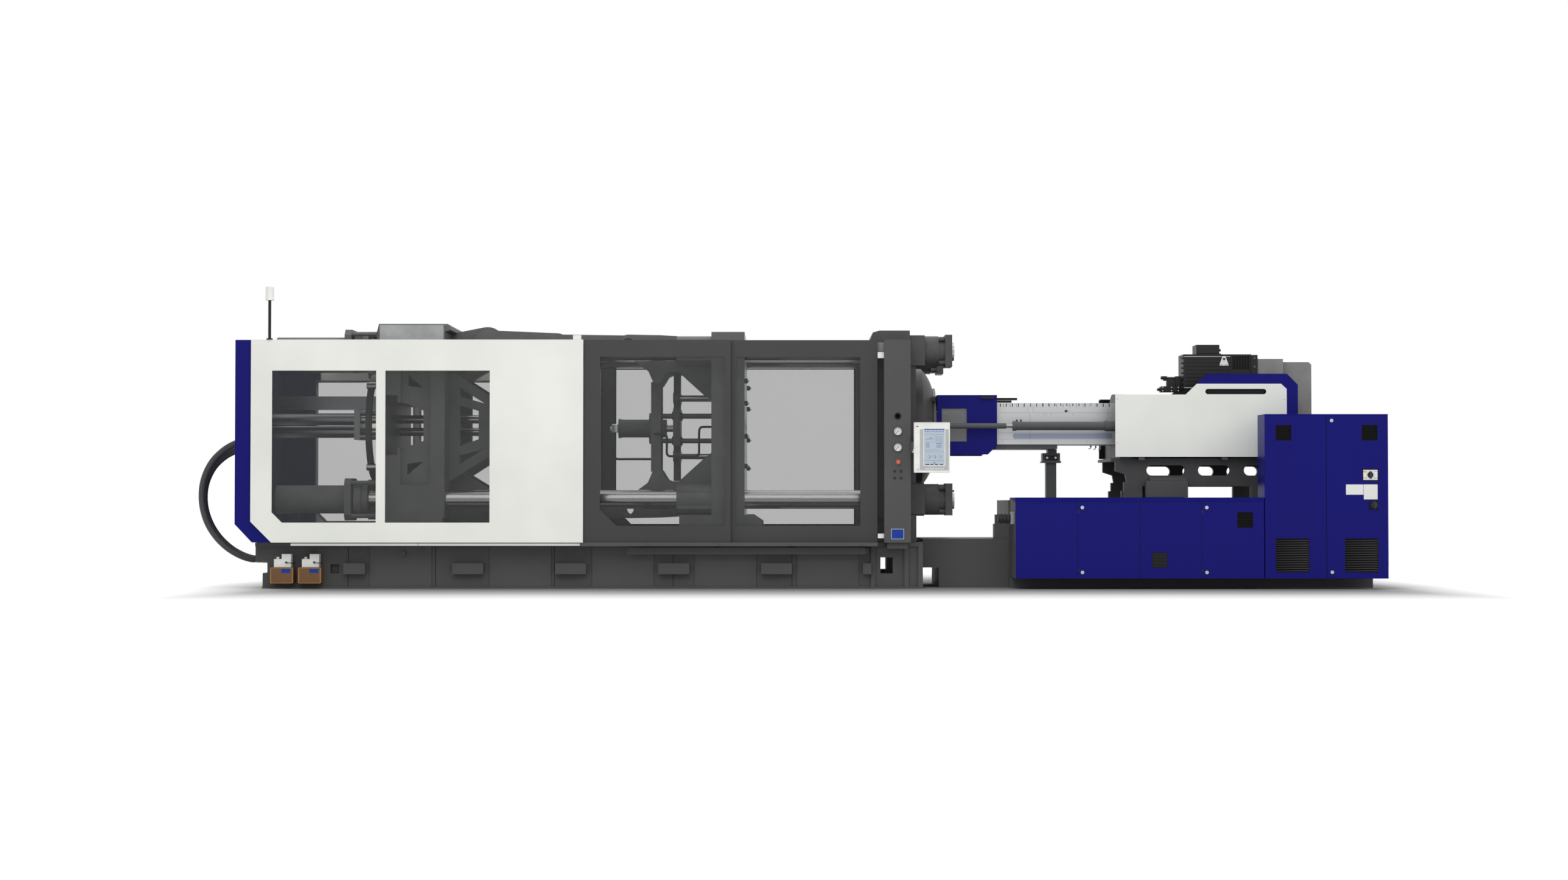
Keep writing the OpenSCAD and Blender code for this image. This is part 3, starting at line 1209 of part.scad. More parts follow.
// Drive: housing with thrust bearing, shot rods, gear case and neck of the motor
drive_x0 = 3400;
case_x0 = 4240;
case_x1 = 4552;
case_top = 2297;
motor_y = -200;
motor_z = 2194;
module gear_case() {
  color(c_case) difference() {
    union() {
      block([drive_x0, -540, axis_z - 180], [drive_x0 + 110, 540, axis_z + 180]);
      block([drive_x0, -300, frame_top + 25 + seat], [drive_x0 + 560, 300, axis_z - 100]);
      rod_x(drive_x0, case_x0 + 1, 460, 0, axis_z);
      slab(-260, 260) polygon([[case_x0, 1400], [case_x1 - 40, 1400], [case_x1, 1440],
        [case_x1, case_top - 27],
        [case_x1 - 27, case_top], [case_x0 + 20, case_top], [case_x0, case_top - 20]]);
      block([3979 + seat, motor_y - 170, motor_z - 140], [case_x0 + 1, motor_y + 170, motor_z + 130]);
    }
    rod_x(drive_x0 - 1, drive_x0 + 300, screw_d + 2 * run, 0, axis_z);
    rod_x(3979, 4100, 60 + 2 * run, motor_y, motor_z);
  }
  color(c_chrome) both_sides() rod_x(support_x1 + 40, drive_x0 + 1, shot_rod, -shot_y, axis_z);
}

// Drive motor: ribbed body, fan end, flange and junction box
module drive_motor() color(c_dark) translate([0, motor_y, motor_z]) {
  difference() {
    block([3223, -170, -177], [3915, 170, 177]);
    for (i = [0:10]) block([3727 + i * 16, -171, 20], [3735 + i * 16, 171, 160]);
    for (s = [-1, 1]) for (i = [0:7]) block([3250, s * 170 - 6, -150 + i * 38], [3710, s * 170 + 6,
      -134 + i * 38]);
  }
  block([3914, -185, -165], [3979, 185, 170]);
  block([3362, -130, 176], [3598, 130, 277]);
  block([3640, 100, 176], [3654, 140, 200]);
  rod_x(3978, 4090, 60, 0, 0);
}

// Screw with its flights
screw_x0 = 330;
module screw() color("#A0A2A4") {
  rod_x(screw_x0 + 60, drive_x0 + 290, screw_d - 30, 0, axis_z);
  rod_x(support_x1 - 60, drive_x0 + 290, screw_d, 0, axis_z);
  for (x = [screw_x0 + 90:screw_d:support_x1 - 100]) rod_x(x, x + 12, screw_d, 0, axis_z);
  translate([screw_x0, 0, axis_z]) rotate([0, 90, 0]) cylinder(r1 = 6, r2 = (screw_d - 30) / 2, h = 61);
}

// Guard over the nozzle: a tunnel with a side window, riding on the two rails
nguard = [701, 1310];
nguard_y = 450;
nguard_z = [axis_z - 287, axis_z + 319];
module nozzle_guard() {
  color(c_blue) difference() {
    slab(-nguard_y, nguard_y) polygon([[nguard[0], nguard_z[0]], [nguard[1] - 94, nguard_z[0]],
      [nguard[1], nguard_z[0] + 92], [nguard[1], nguard_z[1]], [nguard[0], nguard_z[1]]]);
    block([nguard[0] - 1, -nguard_y + 12, nguard_z[0] - 1], [nguard[1] + 1, nguard_y - 12, nguard_z[1] - 12]);
    slab(-nguard_y - 1, nguard_y + 1) translate([747, 1478]) square([256, 337]);
  }
  color(c_glass) both_sides() slab(-nguard_y + 12, -nguard_y + 18) translate([735, 1466]) square([280, 361]);
  color(c_dark) {
    both_sides() {
      block([nguard[0] + 60, -guard_rail_y - 16, guard_rail_z + 24 + seat], [nguard[0] + 140,
        -guard_rail_y + 16, nguard_z[1] - 11]);
      block([nguard[1] - 140, -guard_rail_y - 16, guard_rail_z + 24 + seat], [nguard[1] - 60,
        -guard_rail_y + 16, nguard_z[1] - 11]);
    }
    slab(-nguard_y - 40, -nguard_y - 22) round_rect([1145, 1912], [1280, 1935], 8);
    for (x = [1155, 1260]) rod_y(-nguard_y - 30, -nguard_y + 1, 12, x, 1924);
  }
}

// Each node is drawn once, by its name
clamp_bed();
fixed_platen();
tie_bars();
tie_bar_nuts();
clamp_guards();
guard_windows();
end_cover();
gate_rails();
guard_posts();
post_fittings();
beacon_pole();
beacon_lamp();
hose_near();
hose_far();
hose_glands();
lubricator_tanks();
lubricator_pumps();
injection_base();
low_cabinets();
tall_cabinet();
base_manifold();
barrel_support();
carriage_rods();
hmi_arm();
hmi_panel();
stop_button();
needle_upper();
needle_lower();
tail_platen();
clamp_cylinders();
bar_adjusters();
upper_rear_link();
lower_rear_link();
upper_front_link();
lower_front_link();
upper_cross_link();
lower_cross_link();
crosshead();
moving_platen();
ejector_cylinder();
ejector_plate();
gate_left();
gate_right();
rear_gate_left();
rear_gate_right();
injection_frame();
barrel();
barrel_cover();
carriage_cylinders();
unit_covers();
drive_motor();
gear_case();
screw();
nozzle_guard();
low_door_left();
low_door_right();
tall_door_left();
tall_door_right();
main_switch();
breaker_lever();
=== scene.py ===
"""Horizontal toggle injection moulding machine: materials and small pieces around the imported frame.

Everything is in metres in the frame of the CAD: +X along the injection axis, -Y the operator side, +Z up.
"""

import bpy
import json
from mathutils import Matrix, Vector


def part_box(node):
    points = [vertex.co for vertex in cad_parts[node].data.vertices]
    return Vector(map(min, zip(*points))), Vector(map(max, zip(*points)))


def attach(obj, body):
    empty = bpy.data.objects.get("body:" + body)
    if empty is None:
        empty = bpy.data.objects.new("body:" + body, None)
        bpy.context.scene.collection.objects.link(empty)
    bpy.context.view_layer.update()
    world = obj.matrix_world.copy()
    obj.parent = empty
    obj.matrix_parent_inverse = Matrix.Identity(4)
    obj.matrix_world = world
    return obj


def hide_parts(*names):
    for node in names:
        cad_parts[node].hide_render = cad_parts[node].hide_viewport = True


bl_info = {
    "name": "Injection moulding machine",
    "version": (1, 0, 0),
    "blender": (4, 5, 0),
    "location": "3D View > Sidebar > Machine",
    "description": "Dresses the packed injection moulding machine with materials and small pieces",
    "category": "Add Mesh",
}

import json
import math

import bpy
import numpy as np
from bpy.props import FloatProperty, IntProperty, PointerProperty, StringProperty
from mathutils import Vector

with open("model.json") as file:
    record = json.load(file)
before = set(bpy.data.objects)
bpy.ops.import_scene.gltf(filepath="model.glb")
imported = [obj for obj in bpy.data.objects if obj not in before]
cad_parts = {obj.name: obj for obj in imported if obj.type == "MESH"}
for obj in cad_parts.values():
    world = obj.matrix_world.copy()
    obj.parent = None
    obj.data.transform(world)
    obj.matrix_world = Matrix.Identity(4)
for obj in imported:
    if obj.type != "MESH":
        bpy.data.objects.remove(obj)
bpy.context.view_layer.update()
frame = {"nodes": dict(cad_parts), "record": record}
NODES = frame["nodes"]
BOX = {name: [np.array(corner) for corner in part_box(name)] for name in NODES}
BODY = {name: body for body, names in frame["record"]["behaviour"]["bodies"].items() for name in names}
SLOT = {part["node"]: part["material_slot"] for part in frame["record"]["subparts"]}


# ---- colour and node helpers -------------------------------------------------------------------


def linear(code):
    """A colour written as sRGB hex, turned to the linear RGBA that Blender's sockets take."""
    parts = [int(code.lstrip("#")[i : i + 2], 16) / 255 for i in (0, 2, 4)]
    return [c / 12.92 if c <= 0.04045 else ((c + 0.055) / 1.055) ** 2.4 for c in parts] + [1.0]


def add_node(tree, kind, inputs=None, **settings):
    """Adds a node, sets its properties, and fills each named input with a value or a link from a socket."""
    made = tree.nodes.new(kind)
    for key, value in settings.items():
        setattr(made, key, value)
    for key, value in (inputs or {}).items():
        socket = made.inputs[key]
        if isinstance(value, bpy.types.NodeSocket):
            tree.links.new(value, socket)
        else:
            socket.default_value = value
    return made


def new_material(name):
    """An empty node material, with its tree, its shader and the place on the object in metres."""
    material = bpy.data.materials.new(name)
    material.use_nodes = True
    tree = material.node_tree
    tree.nodes.clear()
    shader = add_node(tree, "ShaderNodeBsdfPrincipled")
    add_node(tree, "ShaderNodeOutputMaterial", {"Surface": shader.outputs["BSDF"]})
    return material, tree, shader, add_node(tree, "ShaderNodeTexCoord").outputs["Object"]


def shade(code, factor):
    """The colour times a factor, kept below white."""
    return [min(c * factor, 1.0) for c in linear(code)[:3]] + [1.0]


def noise_scale(grain_mm):
    """Scale of a noise whose lumps are about that wide: four of them to a period of the pattern."""
    return 1000 / grain_mm / 4


def wire_skin(tree, shader, colour=None, bump=None, rough=None):
    """Wires the look of a skin to its shader and returns the socket with its colour.

    colour is (share, code, low, high): the code times a factor that runs from low to high with the share.
    bump is (height, strength, depth in mm). rough is (share, low, high), the roughness at share 0 and 1.
    """
    tone = None
    if colour:
        share, code, low, high = colour
        tone = add_node(tree, "ShaderNodeMix", {0: share, 6: shade(code, low), 7: shade(code, high)},
                        data_type="RGBA").outputs[2]
        tree.links.new(tone, shader.inputs["Base Color"])
    if bump:
        height, strength, depth_mm = bump
        normal = add_node(tree, "ShaderNodeBump", {"Height": height, "Strength": strength,
                                                   "Distance": depth_mm / 1000})
        tree.links.new(normal.outputs["Normal"], shader.inputs["Normal"])
    if rough:
        share, low, high = rough
        level = add_node(tree, "ShaderNodeMapRange", {"Value": share, "To Min": low, "To Max": high})
        tree.links.new(level.outputs["Result"], shader.inputs["Roughness"])
    return tone


# ---- materials ---------------------------------------------------------------------------------


def powder_coat(name, code, roughness=0.42, grain_mm=1.6, depth_mm=0.05, drift=0.06):
    """Polyester powder coat on sheet steel, baked on.

    The eye sees an even satin colour with a faint orange peel in the gloss and a hardly visible drift
    of tone over a metre. The real peel is under 1 mm, drawn coarser so that it shows.
    """
    material, tree, shader, place = new_material(name)
    slow = add_node(tree, "ShaderNodeTexNoise", {"Vector": place, "Scale": 1.4, "Detail": 2.0}).outputs["Fac"]
    peel = add_node(tree, "ShaderNodeTexNoise", {"Vector": place, "Scale": noise_scale(grain_mm), "Detail": 2.0})
    wire_skin(tree, shader, (slow, code, 1 - 2 * drift, 1 + 2 * drift), (peel.outputs["Fac"], 0.12, depth_mm),
              (slow, roughness - 0.04, roughness + 0.05))
    shader.inputs["Specular IOR Level"].default_value = 0.12
    return material


def painted_casting(name, code, grain_mm=7.0, depth_mm=0.6, roughness=0.5):
    """Sand-cast iron, filled, primed and sprayed with machine enamel.

    The enamel is satin, but the skin under it stays lumpy at 5 to 10 mm, and flat highlights break up on it.
    """
    material, tree, shader, place = new_material(name)
    lumps = add_node(tree, "ShaderNodeTexNoise", {"Vector": place, "Scale": noise_scale(grain_mm), "Detail": 4.0,
                                                  "Roughness": 0.6})
    patches = add_node(tree, "ShaderNodeTexNoise", {"Vector": place, "Scale": 5.0, "Detail": 5.0,
                                                    "Roughness": 0.65}).outputs["Fac"]
    wire_skin(tree, shader, (patches, code, 0.6, 1.4), (lumps.outputs["Fac"], 0.5, depth_mm),
              (patches, roughness - 0.08, roughness + 0.12))
    shader.inputs["Specular IOR Level"].default_value = 0.3
    return material


def worked_metal(name, code, roughness=0.3, along=(1, 0, 0), line_mm=2.0, depth_mm=0.02, spread=0.08):
    """Bare metal with the marks of its last cut or brush along one direction.

    Ground, turned or brushed lines stretch the highlights across the marks. The true lines are a few
    hundredths of a millimetre wide and are drawn at line_mm so that they show.
    """
    material, tree, shader, place = new_material(name)
    stretch = [0.02 if a else 1.0 for a in along]
    turned = add_node(tree, "ShaderNodeMapping", {"Vector": place, "Scale": stretch})
    lines = add_node(tree, "ShaderNodeTexNoise", {"Vector": turned.outputs["Vector"],
                                                  "Scale": noise_scale(line_mm), "Detail": 3.0}).outputs["Fac"]
    wire_skin(tree, shader, (lines, code, 1 - 2 * spread, 1 + 2 * spread), (lines, 0.25, depth_mm),
              (lines, roughness * 0.8, roughness * 1.25))
    shader.inputs["Metallic"].default_value = 1.0
    return material


def moulded(name, code, roughness=0.4, grain_mm=1.2, depth_mm=0.03, clear=0.0):
    """Injection moulded ABS or nylon: an even colour with a fine spark-eroded grain that softens the gloss."""
    material, tree, shader, place = new_material(name)
    grain = add_node(tree, "ShaderNodeTexVoronoi", {"Vector": place, "Scale": 1000 / grain_mm / 2})
    slow = add_node(tree, "ShaderNodeTexNoise", {"Vector": place, "Scale": 9.0})
    wire_skin(tree, shader, (slow.outputs["Fac"], code, 0.88, 1.12), (grain.outputs["Distance"], 0.15, depth_mm))
    shader.inputs["Roughness"].default_value = roughness
    shader.inputs["Transmission Weight"].default_value = clear
    return material


def clear_sheet(name, code, alpha):
    """Extruded polycarbonate sheet, smoked a little: what is behind it stays sharp and turns greyer."""
    material, tree, shader, place = new_material(name)
    wave = add_node(tree, "ShaderNodeTexNoise", {"Vector": place, "Scale": 2.0, "Detail": 1.0})
    wire_skin(tree, shader, bump=(wave.outputs["Fac"], 0.1, 0.4))
    for socket, value in (("Base Color", linear(code)), ("Roughness", 0.08), ("Alpha", alpha),
                          ("Specular IOR Level", 0.25)):
        shader.inputs[socket].default_value = value
    return material


def lit(name, code, strength, roughness=0.25):
    """A panel or lens that gives off a little light of its own colour: the screen's own light, and a painted glow on
    the gauge faces.
    """
    material, tree, shader, place = new_material(name)
    slow = add_node(tree, "ShaderNodeTexNoise", {"Vector": place, "Scale": 30.0})
    colour = wire_skin(tree, shader, (slow.outputs["Fac"], code, 0.95, 1.05))
    tree.links.new(colour, shader.inputs["Emission Color"])
    shader.inputs["Emission Strength"].default_value = strength
    shader.inputs["Roughness"].default_value = roughness
    return material


MATERIALS = {}


def material(name):
    """The finish of that name, made the first time it is asked for."""
    if name not in MATERIALS:
        maker, settings = FINISHES[name]
        MATERIALS[name] = maker(name, **settings)
    return MATERIALS[name]


# name of each finish: how it is made and what it looks like
FINISHES = {
    "white powder coat": (powder_coat, {"code": "#EBEDE6", "roughness": 0.45}),
    "blue powder coat": (powder_coat, {"code": "#10106F", "roughness": 0.38, "drift": 0.04}),
    "lid blue powder coat": (powder_coat, {"code": "#0C0E6C", "roughness": 0.62}),
    "gate grey powder coat": (powder_coat, {"code": "#474747", "roughness": 0.45}),
    "bed grey enamel": (powder_coat, {"code": "#545454", "roughness": 0.5, "grain_mm": 3.0, "depth_mm": 0.15}),
    "light grey enamel": (powder_coat, {"code": "#8C8E8E", "roughness": 0.45}),
    "platen casting": (painted_casting, {"code": "#484848"}),
    "gear case casting": (painted_casting, {"code": "#868684", "grain_mm": 5.0, "depth_mm": 0.4}),
    "chromed bar": (worked_metal, {"code": "#9C9C9A", "roughness": 0.16, "line_mm": 3.0}),
    "machined steel": (worked_metal, {"code": "#A4A6A8", "roughness": 0.35}),
    "brushed cover sheet": (worked_metal, {"code": "#B9BABC", "roughness": 0.4, "line_mm": 2.5, "spread": 0.04}),
    "black enamel": (powder_coat, {"code": "#2A2A2A", "roughness": 0.4}),
    "black nylon": (moulded, {"code": "#1E1E1F", "roughness": 0.5}),
    "white moulding": (moulded, {"code": "#ECECE8", "roughness": 0.3}),
    "red button moulding": (moulded, {"code": "#DA5A3A", "roughness": 0.28}),
    "amber tank moulding": (moulded, {"code": "#7C5220", "roughness": 0.22, "clear": 0.25}),
    "smoked polycarbonate": (clear_sheet, {"code": "#595A5B", "alpha": 0.20}),
    "hose rubber": (moulded, {"code": "#37383A", "roughness": 0.55, "grain_mm": 3.0}),
    "zinc plated steel": (worked_metal, {"code": "#C6C8C4", "roughness": 0.3, "along": (0, 0, 1), "line_mm": 4.0}),
    "screen glass": (lit, {"code": "#B4C0CE", "strength": 0.03}),
    "screen blue": (lit, {"code": "#2F4E96", "strength": 0.05}),
    "screen green": (lit, {"code": "#5BA84A", "strength": 0.05}),
    "screen yellow": (lit, {"code": "#D9B838", "strength": 0.05}),
    "screen grey": (lit, {"code": "#8E98A4", "strength": 0.04}),
    # the dial is no lamp: its emission is a painted glow that keeps the white face bright
    "gauge face": (lit, {"code": "#F2F2EE", "strength": 0.1}),
    "plain label": (powder_coat, {"code": "#E6E6E2", "roughness": 0.35}),
    "plain blue plate": (powder_coat, {"code": "#1F3F9C", "roughness": 0.3}),
    "panel membrane": (moulded, {"code": "#B4B6B5", "roughness": 0.4}),
    "panel key": (moulded, {"code": "#F4F4F2", "roughness": 0.35}),
    "gauge glass": (clear_sheet, {"code": "#E8ECEE", "alpha": 0.12}),
    "bed panel enamel": (powder_coat, {"code": "#565656", "roughness": 0.5}),
    "rail enamel": (powder_coat, {"code": "#565656", "roughness": 0.45}),
    "bluish steel strip": (worked_metal, {"code": "#8A93A6", "roughness": 0.4}),
    "motor black enamel": (powder_coat, {"code": "#303031", "roughness": 0.42}),
    "cast light grey enamel": (painted_casting, {"code": "#A8A9AA", "grain_mm": 6.0, "depth_mm": 0.6}),
    "hazy grey polycarbonate": (clear_sheet, {"code": "#8E8F90", "alpha": 0.62}),
    "rod grey enamel": (powder_coat, {"code": "#58595A", "roughness": 0.35}),
    "slat grey": (powder_coat, {"code": "#3C3C3E", "roughness": 0.5}),
    # a lighter copy of the platen casting: painted light for the castings behind the guards
    "sheltered casting": (painted_casting, {"code": "#606060"}),
    "burnished tube": (worked_metal, {"code": "#77787A", "roughness": 0.3}),
    "seam grey": (powder_coat, {"code": "#6E7276", "roughness": 0.6}),
    "tray grey": (powder_coat, {"code": "#5A5C5E", "roughness": 0.5}),
    "shaded white powder coat": (powder_coat, {"code": "#D2D4D0", "roughness": 0.5}),
    "dark grip grey": (powder_coat, {"code": "#26272A", "roughness": 0.5}),
    "amber ring": (moulded, {"code": "#E8A23A", "roughness": 0.35}),
    "amber edge": (moulded, {"code": "#A87430", "roughness": 0.2}),
    "shaded blue coat": (powder_coat, {"code": "#0A0A38", "roughness": 0.6}),
    "vent black": (powder_coat, {"code": "#161617", "roughness": 0.6}),
    "machined face": (worked_metal, {"code": "#8E9092", "roughness": 0.3}),
    "heater band steel": (worked_metal, {"code": "#B4B2AC", "roughness": 0.4}),
}

# finish of each of the record's material slots
SLOT_FINISH = {
    "white_paint": "white powder coat",
    "blue_paint": "blue powder coat",
    "grey_paint": "bed grey enamel",
    "gate_paint": "gate grey powder coat",
    "light_grey_paint": "light grey enamel",
    "casting": "platen casting",
    "case_casting": "gear case casting",
    "chrome_bar": "chromed bar",
    "bright_steel": "machined steel",
    "silver_sheet": "brushed cover sheet",
    "black_paint": "black enamel",
    "black_plastic": "black nylon",
    "white_plastic": "white moulding",
    "red_plastic": "red button moulding",
    "amber_tank": "amber tank moulding",
    "window": "smoked polycarbonate",
    "hose_rubber": "hose rubber",
}

# ---- surfaces ----------------------------------------------------------------------------------

# axes (u, v, w) of a plate that faces that way: u to the right and v up for someone who looks at it
FACING = {
    "-Y": np.array([[1, 0, 0], [0, 0, 1], [0, -1, 0]], float),
    "+Y": np.array([[-1, 0, 0], [0, 0, 1], [0, 1, 0]], float),
    "+X": np.array([[0, 1, 0], [0, 0, 1], [1, 0, 0]], float),
    "-X": np.array([[0, -1, 0], [0, 0, 1], [-1, 0, 0]], float),
    "+Z": np.array([[1, 0, 0], [0, 1, 0], [0, 0, 1]], float),
    "-Z": np.array([[1, 0, 0], [0, -1, 0], [0, 0, -1]], float),
}


def rounded(width, height, radius, steps=5):
    """A rectangle about 0 with quarter circles of that radius at its corners, anticlockwise."""
    turn = np.linspace(0, math.pi / 2, steps)
    corner = np.stack([np.cos(turn), np.sin(turn)], -1) * radius
    middle = np.array([width / 2 - radius, height / 2 - radius])
    quarter = [np.array([[c, -s], [s, c]]) for c, s in ((1, 0), (0, 1), (-1, 0), (0, -1))]
    signs = ((1, 1), (-1, 1), (-1, -1), (1, -1))
    return np.concatenate([corner @ q.T + middle * sign for q, sign in zip(quarter, signs)])


def circle(diameter, steps=32):
    """Points on a circle about 0, anticlockwise."""
    turn = np.arange(steps) * 2 * math.pi / steps
    return np.stack([np.cos(turn), np.sin(turn)], -1) * diameter / 2


def raised(outline, profile, facing, at):
    """A closed outline carried up along a profile of (inset, height) steps, capped at both ends.

    Each ring is the outline moved inwards by the inset along the mean of its two edge normals, so a
    profile of a few steps gives a plate with a rounded edge, a knob, a dish or a dome.
    """
    outline = np.asarray(outline, float)
    edge = np.roll(outline, -1, 0) - outline
    normal = np.stack([edge[:, 1], -edge[:, 0]], -1)
    normal /= np.maximum(np.linalg.norm(normal, axis=1, keepdims=True), 1e-9)
    mean = normal + np.roll(normal, 1, 0)
    length = np.maximum(np.linalg.norm(mean, axis=1, keepdims=True), 1e-6)
    mitre = mean / length * np.minimum(2 / length, 2)
    rings = [np.concatenate([outline - mitre * inset, np.full((len(outline), 1), height)], 1)
             for inset, height in profile]
    verts = np.concatenate(rings) @ FACING[facing] + np.asarray(at, float)
    count = len(outline)
    here = np.arange((len(profile) - 1) * count)
    beside = here // count * count + (here + 1) % count
    walls = np.stack([here, beside, beside + count, here + count], -1)
    faces = walls.tolist() + [list(range(count))[::-1], list(range((len(profile) - 1) * count, len(profile) * count))]
    return verts, faces


def block(low, high, edge=0.002):
    """A box between two corners with its upright edges rounded and its rims broken."""
    low, high = np.asarray(low, float), np.asarray(high, float)
    size = high - low
    edge = min(edge, size.min() * 0.3)
    outline = rounded(size[0], size[1], edge, 3)
    profile = [(edge, 0), (0, edge), (0, size[2] - edge), (edge, size[2])]
    return raised(outline, profile, "+Z", [(low[0] + high[0]) / 2, (low[1] + high[1]) / 2, low[2]])


def smooth_path(points, steps=6):
    """A path through all the points: a Catmull-Rom curve with that many steps between neighbours."""
    p = np.asarray(points, float)
    p = np.concatenate([[2 * p[0] - p[1]], p, [2 * p[-1] - p[-2]]])
    t = np.arange(steps)[:, None] / steps
    a, b, c, d = p[:-3, None], p[1:-2, None], p[2:-1, None], p[3:, None]
    curve = 0.5 * (2 * b + (c - a) * t + (2 * a - 5 * b + 4 * c - d) * t**2 + (3 * b - a - 3 * c + d) * t**3)
    return np.concatenate([curve.reshape(-1, 3), p[-2:-1]])


def tube(path, diameter, sides=12, ripple=0.0, pitch=0.01):
    """A round tube along a path: at each point a circle across the mean direction of its neighbours.

    ripple makes the radius swell by that share once every pitch, as on a corrugated conduit.
    """
    path = np.asarray(path, float)
    along = np.gradient(path, axis=0)
    along /= np.linalg.norm(along, axis=1, keepdims=True)
    helper = np.array([0.0, 1.0, 0.0]) if abs(along[:, 1]).max() < 0.9 else np.array([0.0, 0.0, 1.0])
    if abs(along @ helper).max() > 0.95:
        helper = np.array([0.3, 0.4, 0.87])
    side = np.cross(along, helper)
    side /= np.linalg.norm(side, axis=1, keepdims=True)
    up = np.cross(side, along)
    run = np.concatenate([[0], np.cumsum(np.linalg.norm(np.diff(path, axis=0), axis=1))])
    radius = diameter / 2 * (1 - ripple * (0.5 - 0.5 * np.cos(2 * math.pi * run / pitch)))
    turn = np.arange(sides) * 2 * math.pi / sides
    ring = np.cos(turn)[None, :, None] * side[:, None] + np.sin(turn)[None, :, None] * up[:, None]
    verts = (path[:, None] + ring * radius[:, None, None]).reshape(-1, 3)
    here = np.arange((len(path) - 1) * sides)
    beside = here // sides * sides + (here + 1) % sides
    walls = np.stack([here, here + sides, beside + sides, beside], -1)
    last = (len(path) - 1) * sides
    return verts, walls.tolist() + [list(range(sides)), list(range(last, last + sides))[::-1]]


def joined(shells):
    """Several closed shells as one list of points and faces."""
    verts, faces, base = [], [], 0
    for v, f in shells:
        verts.append(v)
        faces += [[i + base for i in face] for face in f]
        base += len(v)
    return np.concatenate(verts), faces


def piece(name, shells, finish, body, smooth_angle=35):
    """A new object from closed shells, in its finish, riding on its body."""
    verts, faces = joined(shells if isinstance(shells, list) else [shells])
    mesh = bpy.data.meshes.new(name)
    mesh.from_pydata(verts.tolist(), [], faces)
    mesh.validate()
    mesh.shade_smooth()
    mesh.set_sharp_from_angle(angle=math.radians(smooth_angle))
    made = bpy.data.objects.new(name, mesh)
    bpy.context.scene.collection.objects.link(made)
    mesh.materials.append(material(finish))
    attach(made, body)
    return made


def refinish(node, finish):
    """Gives a carried-over CAD node a finish in all its material slots."""
    surface = NODES[node]
    surface.data.materials.clear()
    surface.data.materials.append(material(finish))


def screw_heads(places, facing, diameter=0.016, height=0.007):
    """Socket head screws: a round head with a broken rim and a sunk round socket."""
    head = circle(diameter, 16)
    profile = [(0, 0), (0, height * 0.8), (diameter * 0.06, height), (diameter * 0.24, height),
               (diameter * 0.25, height * 0.45)]
    return [raised(head, profile, facing, at) for at in places]


def hex_heads(places, facing, across=0.03, height=0.018):
    """Hexagon screws on washers."""
    shells = []
    for at in places:
        shells.append(raised(circle(across * 1.5, 20), [(0, 0), (0, 0.003), (0.001, 0.004)], facing, at))
        shells.append(raised(circle(across * 1.12, 6), [(0, 0.003), (0, height - 0.002), (0.003, height)], facing, at))
    return shells


# ---- settings ----------------------------------------------------------------------------------

AXIS_Z = 1.632
FRONT = -1.3  # outer face of guards, posts and cabinet doors


class MachineSettings(bpy.types.PropertyGroup):
    """Sizes and colours that a user would change."""

    white_level: FloatProperty(name="Background white", description="How bright the floor and backdrop show",
                               default=1.0, min=0.2, max=1.0)
    lamp_power: FloatProperty(name="Lamp power", description="Power of the large soft lamps", default=200.0,
                              min=0.0, unit="POWER")
    sky_level: FloatProperty(name="Sky level", description="Strength of the even light from all sides",
                             default=0.72, min=0.0, max=2.0)
    hose_diameter: FloatProperty(name="Hose diameter", description="Outer diameter of the hydraulic hoses",
                                 default=0.070, min=0.03, max=0.1, unit="LENGTH")
    key_size: FloatProperty(name="Key size", description="Width of a key on the operator panel", default=0.0125,
                            min=0.005, max=0.02, unit="LENGTH")
    gauge_ticks: IntProperty(name="Gauge ticks", description="Number of ticks on a gauge face", default=27, min=5,
                             max=60)
    screen_title: StringProperty(name="Screen colour", description="Finish of the bar across the screen's top",
                                 default="screen blue")


def settings():
    """The sizes and colours chosen in the panel."""
    return bpy.context.scene.machine


# ---- camera, light and floor -------------------------------------------------------------------


class MACHINE_OT_camera(bpy.types.Operator):
    """Sets the camera at the photograph's angle: far away, low, square to the machine's front"""

    bl_idname = "machine.camera"
    bl_label = "Camera"

    def execute(self, context):
        data = bpy.data.cameras.new("photo_camera")
        data.lens = 60.27
        data.sensor_width = 36.0
        data.clip_end = 200.0
        camera = bpy.data.objects.new("photo_camera", data)
        camera.location = (-0.860, -27.178, 0.844)
        camera.rotation_euler = (math.radians(90 + 1.39), 0, 0)
        context.scene.collection.objects.link(camera)
        context.scene.camera = camera
        return {"FINISHED"}


def camera_share(tree):
    """Two sockets, 1 for what the camera sees and 0 for the rest.

    The first counts straight rays and those through a pane, the second also those off a glossy surface.
    """
    ray = add_node(tree, "ShaderNodeLightPath")
    seen = add_node(tree, "ShaderNodeMath", {0: ray.outputs["Is Camera Ray"], 1: ray.outputs["Is Transmission Ray"]},
                    operation="MAXIMUM").outputs[0]
    gloss = add_node(tree, "ShaderNodeMath", {0: seen, 1: ray.outputs["Is Glossy Ray"]}, operation="MAXIMUM")
    return seen, gloss.outputs[0]


